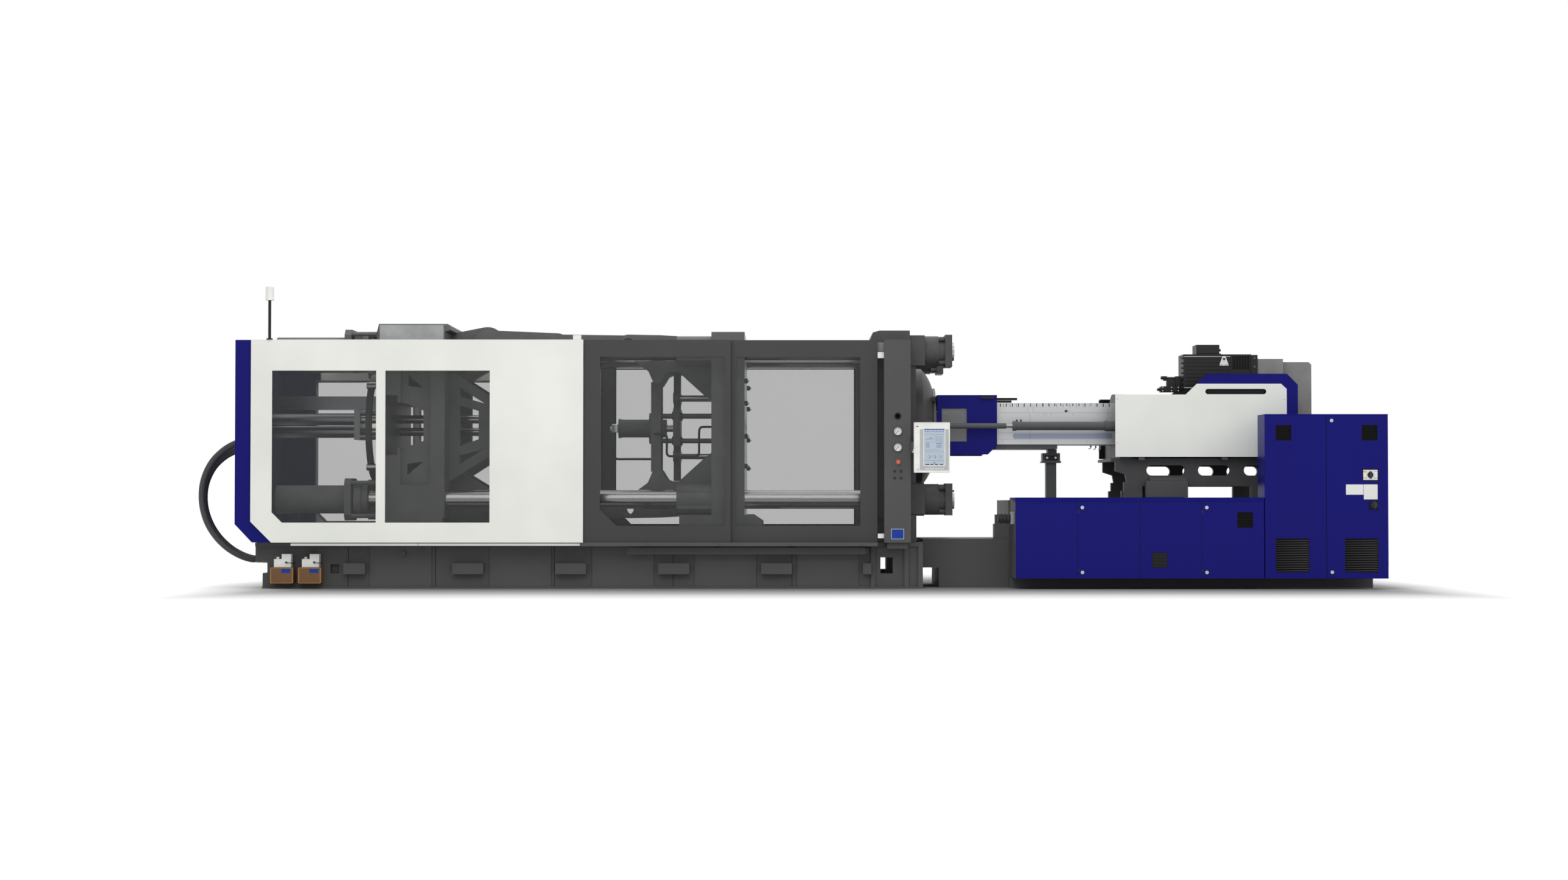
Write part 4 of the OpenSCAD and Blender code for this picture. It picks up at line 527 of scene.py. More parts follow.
class MACHINE_OT_stage(bpy.types.Operator):
    """Adds the white floor with a painted shadow beside the machine, the even sky and the large soft lamps"""

    bl_idname = "machine.stage"
    bl_label = "Stage"

    def execute(self, context):
        chosen = settings()
        scene = context.scene
        scene.view_settings.view_transform = "Standard"
        world = bpy.data.worlds.new("studio")
        scene.world = world
        world.use_nodes = True
        tree = world.node_tree
        tree.nodes.clear()
        _, gloss = camera_share(tree)
        level = add_node(tree, "ShaderNodeMapRange", {"Value": gloss, "To Min": chosen.sky_level,
                                                      "To Max": chosen.white_level})
        sky = add_node(tree, "ShaderNodeBackground", {"Color": (1, 1, 1, 1), "Strength": level.outputs["Result"]})
        add_node(tree, "ShaderNodeOutputWorld", {"Surface": sky.outputs["Background"]})

        # The floor is a flat sheet a few millimetres thick whose top lies at the machine's base
        verts, faces = raised(rounded(30, 16, 2.0), [(0, 0), (0, 0.004)], "+Z", (-0.8, 0, -0.0045))
        mesh = bpy.data.meshes.new("studio_floor")
        mesh.from_pydata(verts.tolist(), [], faces)
        floor = bpy.data.objects.new("studio_floor", mesh)
        scene.collection.objects.link(floor)
        finish, tree, shader, place = new_material("matt white floor")
        wear = add_node(tree, "ShaderNodeTexNoise", {"Vector": place, "Scale": 0.8})
        tone = add_node(tree, "ShaderNodeMix", {0: wear.outputs["Fac"], 6: linear("#C8C8C8"), 7: linear("#CCCCCC")},
                        data_type="RGBA")
        # For the camera the floor carries a painted shadow beside the machine, then gives off light, so that it
        # meets the backdrop without a seam; at the machine's ends this happens three times as fast
        parts = add_node(tree, "ShaderNodeSeparateXYZ", {"Vector": place})
        reach = []
        for axis, shift, slope, start in (("X", 0.37, 3.0, -15.3), ("Y", 0.0, 1.0, -1.0)):
            moved = add_node(tree, "ShaderNodeMath", {0: parts.outputs[axis], 1: shift}, operation="ADD")
            away = add_node(tree, "ShaderNodeMath", {0: moved.outputs[0]}, operation="ABSOLUTE")
            reach.append(add_node(tree, "ShaderNodeMath", {0: away.outputs[0], 1: slope, 2: start},
                                  operation="MULTIPLY_ADD").outputs[0])
        far = add_node(tree, "ShaderNodeMath", {0: reach[0], 1: reach[1], 2: 1.0}, operation="SMOOTH_MAX")
        painted_shadow = add_node(tree, "ShaderNodeMapRange", {"Value": far.outputs[0], "From Min": 0.2, "From Max": 2.2,
                                                       "To Min": 0.62, "To Max": 0.0},
                          interpolation_type="SMOOTHSTEP")
        fade = add_node(tree, "ShaderNodeMapRange", {"Value": far.outputs[0], "From Min": 1.6, "From Max": 4.6,
                                                     "To Max": 0.75 * chosen.white_level})
        seen, gloss = camera_share(tree)
        glow = add_node(tree, "ShaderNodeMath", {0: gloss, 1: fade.outputs["Result"]}, operation="MULTIPLY")
        dark = add_node(tree, "ShaderNodeMath", {0: seen, 1: painted_shadow.outputs["Result"]}, operation="MULTIPLY")
        # near-black colour of the painted shadow, mixed in for the camera only
        shaded = add_node(tree, "ShaderNodeMix", {0: dark.outputs[0], 6: tone.outputs[2], 7: linear("#141414")},
                          data_type="RGBA")
        tree.links.new(shaded.outputs[2], shader.inputs["Base Color"])
        tree.links.new(glow.outputs[0], shader.inputs["Emission Strength"])
        shader.inputs["Emission Color"].default_value = (1, 1, 1, 1)
        shader.inputs["Roughness"].default_value = 0.9
        mesh.materials.append(finish)

        # Key lamp above and in front, a fill from the right end and one from behind
        for name, place, size, power in (("lamp_front", (-3, -12, 9), 9.0, 2.6), ("lamp_right", (13, -8, 7), 7.0, 1.0),
                                         ("lamp_rear", (-2, 13, 10), 9.0, 1.6), ("lamp_top", (0, -1, 13), 10.0, 1.8)):
            data = bpy.data.lights.new(name, "AREA")
            data.shape = "SQUARE"
            data.size = size
            data.energy = power * chosen.lamp_power
            lamp = bpy.data.objects.new(name, data)
            lamp.location = place
            aim = Vector((-0.8, 0.0, 1.2)) - Vector(place)
            lamp.rotation_euler = aim.to_track_quat("-Z", "Y").to_euler()
            scene.collection.objects.link(lamp)
        return {"FINISHED"}


# ---- finishes of the CAD nodes -----------------------------------------------------------------


class MACHINE_OT_finishes(bpy.types.Operator):
    """Gives every carried-over CAD node the finish of its material slot"""

    bl_idname = "machine.finishes"
    bl_label = "Finishes of the main pieces"

    def execute(self, context):
        for node in NODES:
            refinish(node, SLOT_FINISH[SLOT[node]])
        return {"FINISHED"}


# ---- hoses -------------------------------------------------------------------------------------

# centreline of a hose from the end cover to the bed's end, in X and Z, as the solids have it
HOSE_ROUTE = [(-6.330, 1.395), (-6.390, 1.395), (-6.480, 1.362), (-6.560, 1.312), (-6.640, 1.236), (-6.700, 1.140),
              (-6.738, 1.030), (-6.750, 0.910), (-6.738, 0.790), (-6.700, 0.670), (-6.640, 0.560), (-6.560, 0.462),
              (-6.460, 0.378), (-6.350, 0.318), (-6.250, 0.287), (-6.190, 0.287)]
HOSES = (("hydraulic_hose_near", "hose_near", -0.600, 0.064), ("hydraulic_hose_far", "hose_far", -0.500, 0.0))


class MACHINE_OT_hoses(bpy.types.Operator):
    """Two hydraulic hoses in a wide loop at the left end"""

    bl_idname = "machine.hoses"
    bl_label = "Hydraulic hoses"

    def execute(self, context):
        diameter = settings().hose_diameter
        for name, node, y, rise in HOSES:
            lift = [rise * (1 if k < 2 else max(0.0, 1 - (k - 1) / 8)) for k in range(len(HOSE_ROUTE))]
            route = smooth_path([(x, y, z + up) for (x, z), up in zip(HOSE_ROUTE, lift)], 5)
            hose = piece(name, [tube(route, diameter, 24)], "hose rubber", "frame", 60)
            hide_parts(node)
        return {"FINISHED"}


# ---- controls: operator panel, gauges, stop button ---------------------------------------------


def plate(width, height, depth, at, radius=0.004, edge=0.0006, facing="-Y"):
    """A flat plate with round corners and a broken rim, its back at that point."""
    outline = rounded(width, height, radius, 5)
    return raised(outline, [(0, 0), (0, depth - edge), (edge, depth)], facing, at)


def frame_ring(width, height, rim, depth, at, radius=0.006, facing="-Y"):
    """A flat frame round an opening: the outline goes up, inwards over the rim, and back down."""
    outline = rounded(width, height, radius, 6)
    verts, faces = raised(outline, [(0, 0), (0, depth * 0.8), (depth * 0.2, depth), (rim, depth), (rim, 0)], facing, at)
    count = len(outline)
    last = 4 * count
    here = np.arange(count)
    bottom = np.stack([here + last, (here + 1) % count + last, (here + 1) % count, here], -1)
    return verts, faces[:-2] + bottom.tolist()


def ring_shell(outer, inner, depth, at, facing="-Y", steps=32, start=0.0, sweep=1.0):
    """A flat ring, or a part of one: a small rectangle carried round a circle."""
    turn = 2 * math.pi * (start + sweep * np.arange(steps + 1) / steps)
    corners = np.array([(inner / 2, 0), (outer / 2, 0), (outer / 2, depth), (inner / 2, depth)])
    spin = np.stack([np.cos(turn), np.sin(turn)], -1)
    points = np.concatenate([spin[:, None] * corners[None, :, :1],
                             np.broadcast_to(corners[None, :, 1:], (steps + 1, 4, 1))], -1)
    verts = points.reshape(-1, 3) @ FACING[facing] + np.asarray(at, float)
    here = np.arange(steps * 4)
    beside = here // 4 * 4 + (here + 1) % 4
    walls = np.stack([here, beside, beside + 4, here + 4], -1)[:, ::-1]
    return verts, walls.tolist() + [[0, 1, 2, 3], [steps * 4 + k for k in (3, 2, 1, 0)]]


class MACHINE_OT_operator_panel(bpy.types.Operator):
    """Bezel, membrane, keys, round keys, socket and the screen with plain fields of colour"""

    bl_idname = "machine.operator_panel"
    bl_label = "Operator panel"

    def execute(self, context):
        low, high = np.array(BOX["hmi_panel"], float)
        low[0] += 0.026  # the hinge block stands out to the left of the panel
        width, height, face = high[0] - low[0], high[2] - low[2], low[1]
        key = settings().key_size

        def at(u, v, lift=0.0):
            """Point on the panel's face, u across from the left and v down from the top, both as shares."""
            return low[0] + width * u, face - lift, high[2] - height * v

        def add(name, shells, finish):
            """A piece of the panel in that finish."""
            return piece(name, shells, finish, "hmi")

        add("panel_bezel", [frame_ring(width * 0.985, height * 0.99, 0.006, 0.0028, at(0.5, 0.5, -0.0008))],
            "white moulding")
        add("panel_membrane", [plate(width * 0.80, height * 0.82, 0.0012, at(0.565, 0.545, -0.0004), 0.008)],
            "panel membrane")
        rows = [0.170] + [0.246 + 0.052 * k for k in range(12)]
        add("panel_keys", [plate(key, key, 0.0026, at(u, v, -0.0005), 0.002)
                           for u in (0.070, 0.136) for v in rows], "panel key")
        add("panel_round_keys", [raised(circle(0.0125, 20), [(0, 0), (0, 0.002), (0.001, 0.0028)], "-Y",
                                        at(u, 0.926, 0.0005))
                                 for u in (0.326, 0.389, 0.465, 0.528, 0.611, 0.671, 0.744, 0.807)], "panel key")
        add("panel_socket", [raised(circle(0.028, 28), [(0, 0), (0, 0.003), (0.002, 0.004), (0.005, 0.004),
                                                        (0.0055, 0.001)], "-Y", at(0.110, 0.933, -0.0005))],
            "zinc plated steel")
        add("panel_status_slot", [plate(0.022, 0.008, 0.0015, at(0.096, 0.081, -0.0005), 0.002)], "black nylon")

        screen_w, screen_h, middle = width * 0.572, height * 0.729, (0.568, 0.4915)
        add("screen_frame", [frame_ring(screen_w + 0.012, screen_h + 0.012, 0.006, 0.0022, at(*middle, 0.0006))],
            "panel key")
        add("screen", [plate(screen_w, screen_h, 0.0010, at(*middle, 0.0004), 0.002)], "screen glass")

        def on_screen(u, v):
            """Point on the glass, u across from the left and v down from the top, both as shares of the screen."""
            x, y, z = at(*middle, 0.0013)
            return x + screen_w * (u - 0.5), y, z + screen_h * (0.5 - v)

        def field(u, v, w, h):
            """A thin field on the screen: its centre and size as shares of the screen."""
            return plate(screen_w * w, screen_h * h, 0.0006, on_screen(u, v), 0.001, 0.0001)

        def round_field(u, v, outer, inner, start=0.0, sweep=1.0):
            """A thin ring, or part of one, about a point of the screen."""
            return ring_shell(outer, inner, 0.0007, on_screen(u, v), "-Y", 28, start, sweep)

        tens = [0.07 + 0.107 * k for k in range(9)]
        bars = [(0.5, 0.016, 0.98, 0.026)] + [(u, 0.075, 0.035, 0.03) for u in tens]
        bars += [(0.17, 0.40 + 0.05 * k, 0.16 + 0.06 * (k % 2), 0.012) for k in range(3)]
        bars += [(0.72, 0.40 + 0.05 * k, 0.28 - 0.05 * (k % 2), 0.012) for k in range(3)]
        bars += [(0.07, 0.978, 0.06, 0.022)]
        add("screen_blue_fields", [field(*bar) for bar in bars] + [round_field(0.5, 0.93, 0.018, 0.010)],
            settings().screen_title)
        greys = [(u, 0.155, 0.05, 0.02) for u in tens] + [(0.26, 0.28, 0.38, 0.016)]
        greys += [(0.28 + 0.05 * k, 0.258 - 0.006 * (k % 2), 0.04, 0.03) for k in range(3)]
        greys += [(0.72, 0.215 + 0.03 * k, 0.40, 0.008) for k in range(5)]
        greys += [(0.1 + 0.095 * k, 0.575, 0.045, 0.022) for k in range(7)]
        greys += [(0.26, 0.365, 0.40, 0.005), (0.74, 0.365, 0.40, 0.005), (0.5, 0.63, 0.94, 0.004),
                  (0.5, 0.865, 0.94, 0.004)]
        add("screen_grey_fields", [field(*bar) for bar in greys]
            + [round_field(u, 0.76, 0.031, 0.026) for u in (0.24, 0.5, 0.76)], "screen grey")
        add("screen_dark_fields", [field(u, 0.978, 0.15, 0.024) for u in (0.18, 0.38, 0.6, 0.84)], "black nylon")
        add("screen_green_arcs", [round_field(u, 0.76, 0.0335, 0.0255, 0.12, -0.42 + 0.05 * k)
                                  for k, u in enumerate((0.24, 0.5, 0.76))], "screen green")
        add("screen_yellow_fields", [field(0.1 + 0.05 * k, 0.325, 0.03, 0.010) for k in range(4)], "screen yellow")
        return {"FINISHED"}


GAUGES = (("upper", 1.557), ("lower", 1.398))
GAUGE_X = 0.262


class MACHINE_OT_gauges(bpy.types.Operator):
    """Bezels, faces with ticks and glasses of the two pressure gauges, and the ring of the stop button"""

    bl_idname = "machine.gauges"
    bl_label = "Gauges and stop button ring"

    def execute(self, context):
        ticks = settings().gauge_ticks
        for name, z in GAUGES:
            piece(f"gauge_bezel_{name}", [ring_shell(0.0745, 0.0640, 0.0035, (GAUGE_X, FRONT - 0.0215, z), "-Y", 48)],
                  "zinc plated steel", "frame", 50)
            piece(f"gauge_face_{name}", [ring_shell(0.0638, 0.0106, 0.0010, (GAUGE_X, FRONT - 0.0081, z), "-Y", 48)],
                  "gauge face", "frame", 50)
            marks = []
            for k in range(ticks):
                turn = math.radians(225 - 270 * k / (ticks - 1))
                long = 0.0075 if k % 5 == 0 else 0.0042
                middle = 0.0285 - long / 2
                x, y = math.cos(turn), math.sin(turn)
                mark = np.array([(-long / 2, -0.0005), (long / 2, -0.0005), (long / 2, 0.0005), (-long / 2, 0.0005)])
                mark = mark @ np.array([[x, y], [-y, x]])
                marks.append(raised(mark, [(0, 0), (0, 0.0005)], "-Y",
                                    (GAUGE_X + middle * x, FRONT - 0.0090, z + middle * y)))
            piece(f"gauge_ticks_{name}", marks, "black nylon", "frame")
            piece(f"gauge_glass_{name}", [raised(circle(0.0636, 40), [(0, 0), (0, 0.0012), (0.004, 0.0022)], "-Y",
                                                 (GAUGE_X, FRONT - 0.0190, z))],
                  "gauge glass", "frame", 60)
        piece("stop_button_ring", [ring_shell(0.048, 0.0430, 0.0025, (0.265, FRONT - 0.0002, 1.254), "-Y", 40)],
              "amber ring", "frame", 50)
        refinish_where("post_fittings", "vent black", about(GAUGE_X, 1.708, 0.04))
        piece("post_blank_plate", [plate(0.126, 0.102, 0.002, (0.259, FRONT - 0.0002, 0.545), 0.003)],
              "plain blue plate", "frame")
        piece("post_plate_frame", [frame_ring(0.126, 0.102, 0.004, 0.0026, (0.259, FRONT - 0.0004, 0.545), 0.003)],
              "zinc plated steel", "frame")
        return {"FINISHED"}


# ---- finishes inside a node, cabinets and covers -----------------------------------------------


def refinish_where(node, finish, chosen):
    """Gives the faces of a CAD node whose centres pass the test another finish; the shape stays."""
    mesh = NODES[node].data
    mesh.materials.append(material(finish))
    centres = np.empty(len(mesh.polygons) * 3, np.float32)
    mesh.polygons.foreach_get("center", centres)
    index = np.empty(len(mesh.polygons), np.int32)
    mesh.polygons.foreach_get("material_index", index)
    index[chosen(*centres.reshape(-1, 3).T)] = len(mesh.materials) - 1
    mesh.polygons.foreach_set("material_index", index)
    mesh.update()


ALL = (-9.0, 9.0)


def within(x=ALL, y=ALL, z=ALL, side=ALL):
    """A test of face centres: inside these limits along X, Y and Z, and of the distance from the XZ plane."""
    return lambda px, py, pz: (
        (px > x[0]) & (px < x[1]) & (py > y[0]) & (py < y[1]) & (pz > z[0]) & (pz < z[1])
        & (np.abs(py) > side[0]) & (np.abs(py) < side[1]))


def about(x, z, far, front=9.0):
    """A test of face centres: nearer than far to a line along Y at x and z, and in front of that plane."""
    return lambda px, py, pz: (np.hypot(px - x, pz - z) < far) & (py < front)


BED_SKIN = 1.012  # outer face of the bed's side sheets
BARREL_SKIN = 0.147  # radius inside which the barrel has no heater band
ROD_Y, ROD_Z = 0.560, 1.633  # middle of the carriage rods

# sliding gates: node and outer face; the pane is 8 mm thick and starts 26 mm behind that face
GATES = (("gate_left", 1.262), ("gate_right", 1.212), ("rear_gate_left", 1.262), ("rear_gate_right", 1.212))
# vents behind the cabinets' faces: node, left edge, lower edge, width and height
VENTS = (("low_door_right", 3.609, 0.609, 0.150, 0.149),
         ("tall_door_left", 3.991, 1.469, 0.150, 0.149), ("tall_door_left", 3.988, 0.170, 0.325, 0.330),
         ("tall_door_right", 4.840, 1.469, 0.150, 0.149), ("tall_door_right", 4.670, 0.170, 0.325, 0.330))
# cam locks: node, across, up
LOCKS = (("low_door_left", 2.079, 0.167), ("low_door_left", 2.079, 0.806), ("low_door_right", 3.305, 0.167),
         ("low_door_right", 3.305, 0.806), ("tall_door_right", 4.539, 0.169), ("tall_door_right", 4.539, 1.664))

# second finishes inside a node: node, finish, test of the face centres; a later one lies over an earlier one
SECOND_FINISHES = (
    # inner faces of the side covers in black: painted shade inside the unit
    ("unit_covers", "black enamel", within(side=(-1, 0.6895))),
    ("unit_covers", "blue powder coat", lambda x, y, z: (
        (z > 2.0552) | (x > 4.2142) | ((x - 4.1573) * 52 + (z - 2.0553) * 57 > 0.01))),
    ("unit_covers", "vent black", within(x=(3.384, 4.017), z=(1.94, 2.012), side=(-1, 0.6885))),
    ("crosshead", "chromed bar", within(x=(-9, -3.128), z=(AXIS_Z - 0.11, AXIS_Z + 0.15), side=(0.02, 9))),
    ("end_cover", "shaded blue coat", within(x=(-6.266, 9), side=(-1, 1.231))),
    ("hmi_panel", "bed grey enamel", within(x=(-9, BOX["hmi_panel"][0][0] + 0.0255))),
    ("low_cabinets", "lid blue powder coat", within(z=(0.8612, 9))),
    ("moving_platen", "machined face", within(x=(-1.2552, 9), z=(0.7, 2.6))),
    ("fixed_platen", "machined face", within(x=(-9, 0.0002), z=(0.7, 2.6))),
    ("carriage_rods", "rod grey enamel", lambda x, y, z: (
        (x < 1.396) & (np.hypot(np.abs(y) - ROD_Y, z - ROD_Z) > 0.021) & (np.abs(y) > 0.5))),
    ("carriage_rods", "black enamel", within(side=(-1, 0.4))),
    ("nozzle_guard", "hazy grey polycarbonate", within(x=(0.734, 1.016), z=(1.465, 1.828), side=(0.4315, 0.4383))),
    ("nozzle_guard", "black enamel", lambda x, y, z: (
        (np.abs(y) > 0.4502) | ((np.abs(y) < 0.347) & (z > 1.925) & (z < 1.9395)))),
    ("gate_rails", "rail enamel", within(z=(-9, 1.0))),
    ("clamp_bed", "bed panel enamel", within(z=(0.017, 0.419), side=(BED_SKIN - 0.0005, 9))),
    ("barrel_cover", "tray grey", within(x=(-9, 1.945), z=(-9, 1.4515))),
    ("low_cabinets", "bed grey enamel", within(x=(-9, 1.4225), z=(-9, 0.858))),
    ("ejector_plate", "platen casting", lambda x, y, z: (
        (x < -1.910) & ((np.hypot(y, z - AXIS_Z + 0.01) > 0.0356) | (x > -2.0)))),
    ("barrel", "heater band steel", lambda x, y, z: np.hypot(y, z - AXIS_Z) > BARREL_SKIN),
)
# nodes that get one other finish all over
OTHER_FINISHES = {"drive_motor": "motor black enamel", "carriage_cylinders": "rod grey enamel",
                  "base_manifold": "bed grey enamel", "barrel_support": "rod grey enamel"}
# castings behind the guards, in a lighter copy of the platen casting: painted light that makes up for the shade the
# guards cast
CASTINGS_WITH_PAINTED_LIGHT = ("tail_platen", "moving_platen", "bar_adjusters", "crosshead", "ejector_cylinder", "upper_rear_link",
             "lower_rear_link", "upper_front_link", "lower_front_link", "upper_cross_link", "lower_cross_link")


class MACHINE_OT_mixed_finishes(bpy.types.Operator):
    """Second finishes inside a node: panes, vents, locks, the blue arch, bright faces and rods, painted shade inside
    the unit's covers and painted light on the castings behind the guards
    """

    bl_idname = "machine.mixed_finishes"
    bl_label = "Second finishes"

    def execute(self, context):
        for node, finish in OTHER_FINISHES.items():
            refinish(node, finish)
        for node, outer in GATES:
            refinish_where(node, "smoked polycarbonate", within(side=(outer - 0.0349, outer - 0.0257)))
        for node, x, z, w, h in VENTS:
            across = (x - 0.0015, x + w + 0.0015)
            refinish_where(node, "vent black", within(across, (-1.2995, -1.27), (z - 0.001, z + h + 0.001)))
            if w > 0.2:
                refinish_where(node, "slat grey", within(across, (-1.2995, -1.2945), (z + 0.004, z + h - 0.004)))
        for node, x, z in LOCKS:
            refinish_where(node, "zinc plated steel", about(x, z, 0.019, FRONT - 0.0003))
        for node, finish, test in SECOND_FINISHES:
            refinish_where(node, finish, test)
        for node in CASTINGS_WITH_PAINTED_LIGHT:
            NODES[node].data.materials[0] = material("sheltered casting")
        NODES["clamp_cylinders"].data.materials[0] = material("burnished tube")
        return {"FINISHED"}


class MACHINE_OT_cabinet_fittings(bpy.types.Operator):
    """Breaker, blank plates, lock slots, door seams, the frames of the vents and a louvred plate"""

    bl_idname = "machine.cabinet_fittings"
    bl_label = "Cabinet fittings"

    def execute(self, context):
        door, breaker_x, breaker_z = "tall_door_right", 4.921, 1.128
        piece("breaker_body", [plate(0.146, 0.101, 0.010, (breaker_x, FRONT + 0.0115, breaker_z), 0.003)],
              "white moulding", door)
        marks = [(0.002, 0.094, dx, 0.0, 0.0008) for dx in (-0.042, 0.042)]
        marks += [(0.040, 0.003, dx, dz, 0.001) for dx in (-0.058, 0.058) for dz in (-0.036, -0.026, 0.034)]
        piece("breaker_seams", [plate(w, h, 0.0011, (breaker_x + dx, FRONT + 0.0018, breaker_z + dz), radius)
                                for w, h, dx, dz, radius in marks], "screen grey", door)
        piece("breaker_orange_mark", [plate(0.034, 0.012, 0.0012, (4.866, FRONT + 0.0018, 1.159), 0.001)],
              "amber ring", door)
        piece("blank_plate_left", [plate(0.172, 0.101, 0.0009, (4.765, FRONT, 0.983), 0.003, 0.0003)],
              "plain label", door)
        piece("blank_plate_right", [plate(0.136, 0.148, 0.0009, (4.9225, FRONT, 0.960), 0.003, 0.0003)],
              "plain label", door)
        for name in sorted({node for node, _, _ in LOCKS}):
            places = [(x, FRONT - 0.0079, z) for node, x, z in LOCKS if node == name]
            slots = [plate(0.003, 0.014, 0.0008, at, 0.001) for at in places]
            rims = [ring_shell(0.034, 0.029, 0.0012, at, "-Y", 28) for at in places]
            piece(f"lock_slots_{name}", slots, "black nylon", name)
            piece(f"lock_rims_{name}", rims, "zinc plated steel", name)
        for number, (node, x0, z0, w, h) in enumerate(VENTS):
            middle = (x0 + w / 2, FRONT + 0.0004, z0 + h / 2)
            piece(f"vent_frame_{number + 1}", [frame_ring(w + 0.004, h + 0.004, 0.003, 0.0012, middle, 0.002)],
                  "vent black", BODY[node])
        # The vent of the third low panel has no pocket of its own: a louvred plate set on the panel
        vent_x, slat_pitch = 2.839, 0.0142
        slats = [plate(0.142, 0.0035, 0.0008, (vent_x, FRONT - 0.0006, 0.224 + slat_pitch * k), 0.001, 0.0003)
                 for k in range(10)]
        piece("panel_vent", [plate(0.150, 0.150, 0.0008, (vent_x, FRONT, 0.288), 0.003, 0.0003)], "vent black",
              "frame")
        piece("panel_vent_slats", slats, "slat grey", "frame")
        # Dark gaps beside the doors, where the sheets' folded edges meet
        left, right, tall = BOX["low_door_left"], BOX["low_door_right"], BOX["tall_door_left"]
        gaps = [(left[0][0] - 0.0042, left[0][0] - 0.0012), (left[1][0] + 0.0012, left[1][0] + 0.0062),
                (right[0][0] - 0.0042, right[0][0] - 0.0012)]
        seams = [plate(x1 - x0, 0.744, 0.0006, ((x0 + x1) / 2, FRONT, 0.486), 0.0005, 0.0002) for x0, x1 in gaps]
        piece("cabinet_seam_strips", seams, "vent black", "frame")
        piece("tall_door_seam", [plate(0.003, 1.600, 0.0006, (tall[1][0] - 0.0022, FRONT, 0.915), 0.0005, 0.0002)],
              "vent black", "tall_door_left")
        piece("breaker_frame", [frame_ring(0.166, 0.121, 0.009, 0.0016, (breaker_x, FRONT + 0.0002, breaker_z),
                                           0.004)], "vent black", door)
        piece("main_switch_plate", [plate(0.087, 0.085, 0.0014, (4.9515, FRONT, 0.8295), 0.004)], "vent black", door)
        hinges = [block((x - 0.004, FRONT - 0.0035, z), (x + 0.004, FRONT + 0.0002, z + 0.03), 0.001)
                  for x in (2.0385, 3.2645) for z in (0.17, 0.75)]
        piece("low_door_striker_pads", hinges, "black nylon", "frame")
        return {"FINISHED"}


class MACHINE_OT_lubricators(bpy.types.Operator):
    """Lids, edges, blank plates and fittings of the two lubricators"""

    bl_idname = "machine.lubricators"
    bl_label = "Lubricators"

    def execute(self, context):
        edges, plates, caps, lines, feet = [], [], [], [], []
        tank_length, tank_face = 0.231, -1.1495
        for x0 in (-5.953, -5.676):
            x1 = x0 + tank_length
            for x in (x0 + 0.008, x1 - 0.008):
                edges.append(block((x - 0.005, tank_face - 0.003, 0.058), (x + 0.005, tank_face, 0.210), 0.001))
            for z in (0.0575, 0.2065):
                edges.append(block((x0 + 0.006, tank_face - 0.003, z - 0.0035), (x1 - 0.006, tank_face, z + 0.0035),
                                   0.001))
            plates.append(plate(0.088, 0.040, 0.0012, (x1 - 0.072, -1.1500, 0.178), 0.002))
            caps.append(raised(circle(0.040, 24), [(0, 0), (0, 0.018), (0.002, 0.021), (0.008, 0.021)], "+Z",
                               (x0 + 0.066, -1.105, 0.2150)))
            caps.append(raised(circle(0.026, 20), [(0, 0), (0, 0.010), (0.002, 0.012)], "-Y",
                               (x0 + 0.160, -1.130, 0.262)))
            lines.append(tube(smooth_path([(x0 + 0.160, -1.138, 0.262), (x0 + 0.160, -1.152, 0.262),
                                           (x0 + 0.178, -1.158, 0.258), (x0 + 0.215, -1.155, 0.256),
                                           (x0 + 0.226, -1.12, 0.256), (x0 + 0.226, -1.03, 0.256)], 6), 0.008, 10))
            for x in (x0 + 0.02, x1 - 0.05):
                feet.append(block((x, -1.14, 0.046), (x + 0.03, -1.02, 0.0545), 0.001))
        piece("lubricator_edges", edges, "amber edge", "frame")
        piece("lubricator_blank_plates", plates, "plain blue plate", "frame")
        piece("lubricator_caps", caps, "black nylon", "frame")
        piece("lubricator_lines", lines, "black nylon", "frame")
        piece("lubricator_feet", feet, "black enamel", "frame")
        return {"FINISHED"}


# ---- injection side ----------------------------------------------------------------------------

COVER_FACE = -0.300  # near side of the barrel cover
UNIT_FACE = -0.700  # near side of the unit's side covers
MOTOR_FACE = -0.370  # near side of the drive motor's body
LUG_X = 3.637  # middle of the motor's lifting lug
VALVE_Y = -0.279  # middle of the spool valves at the motor's near end


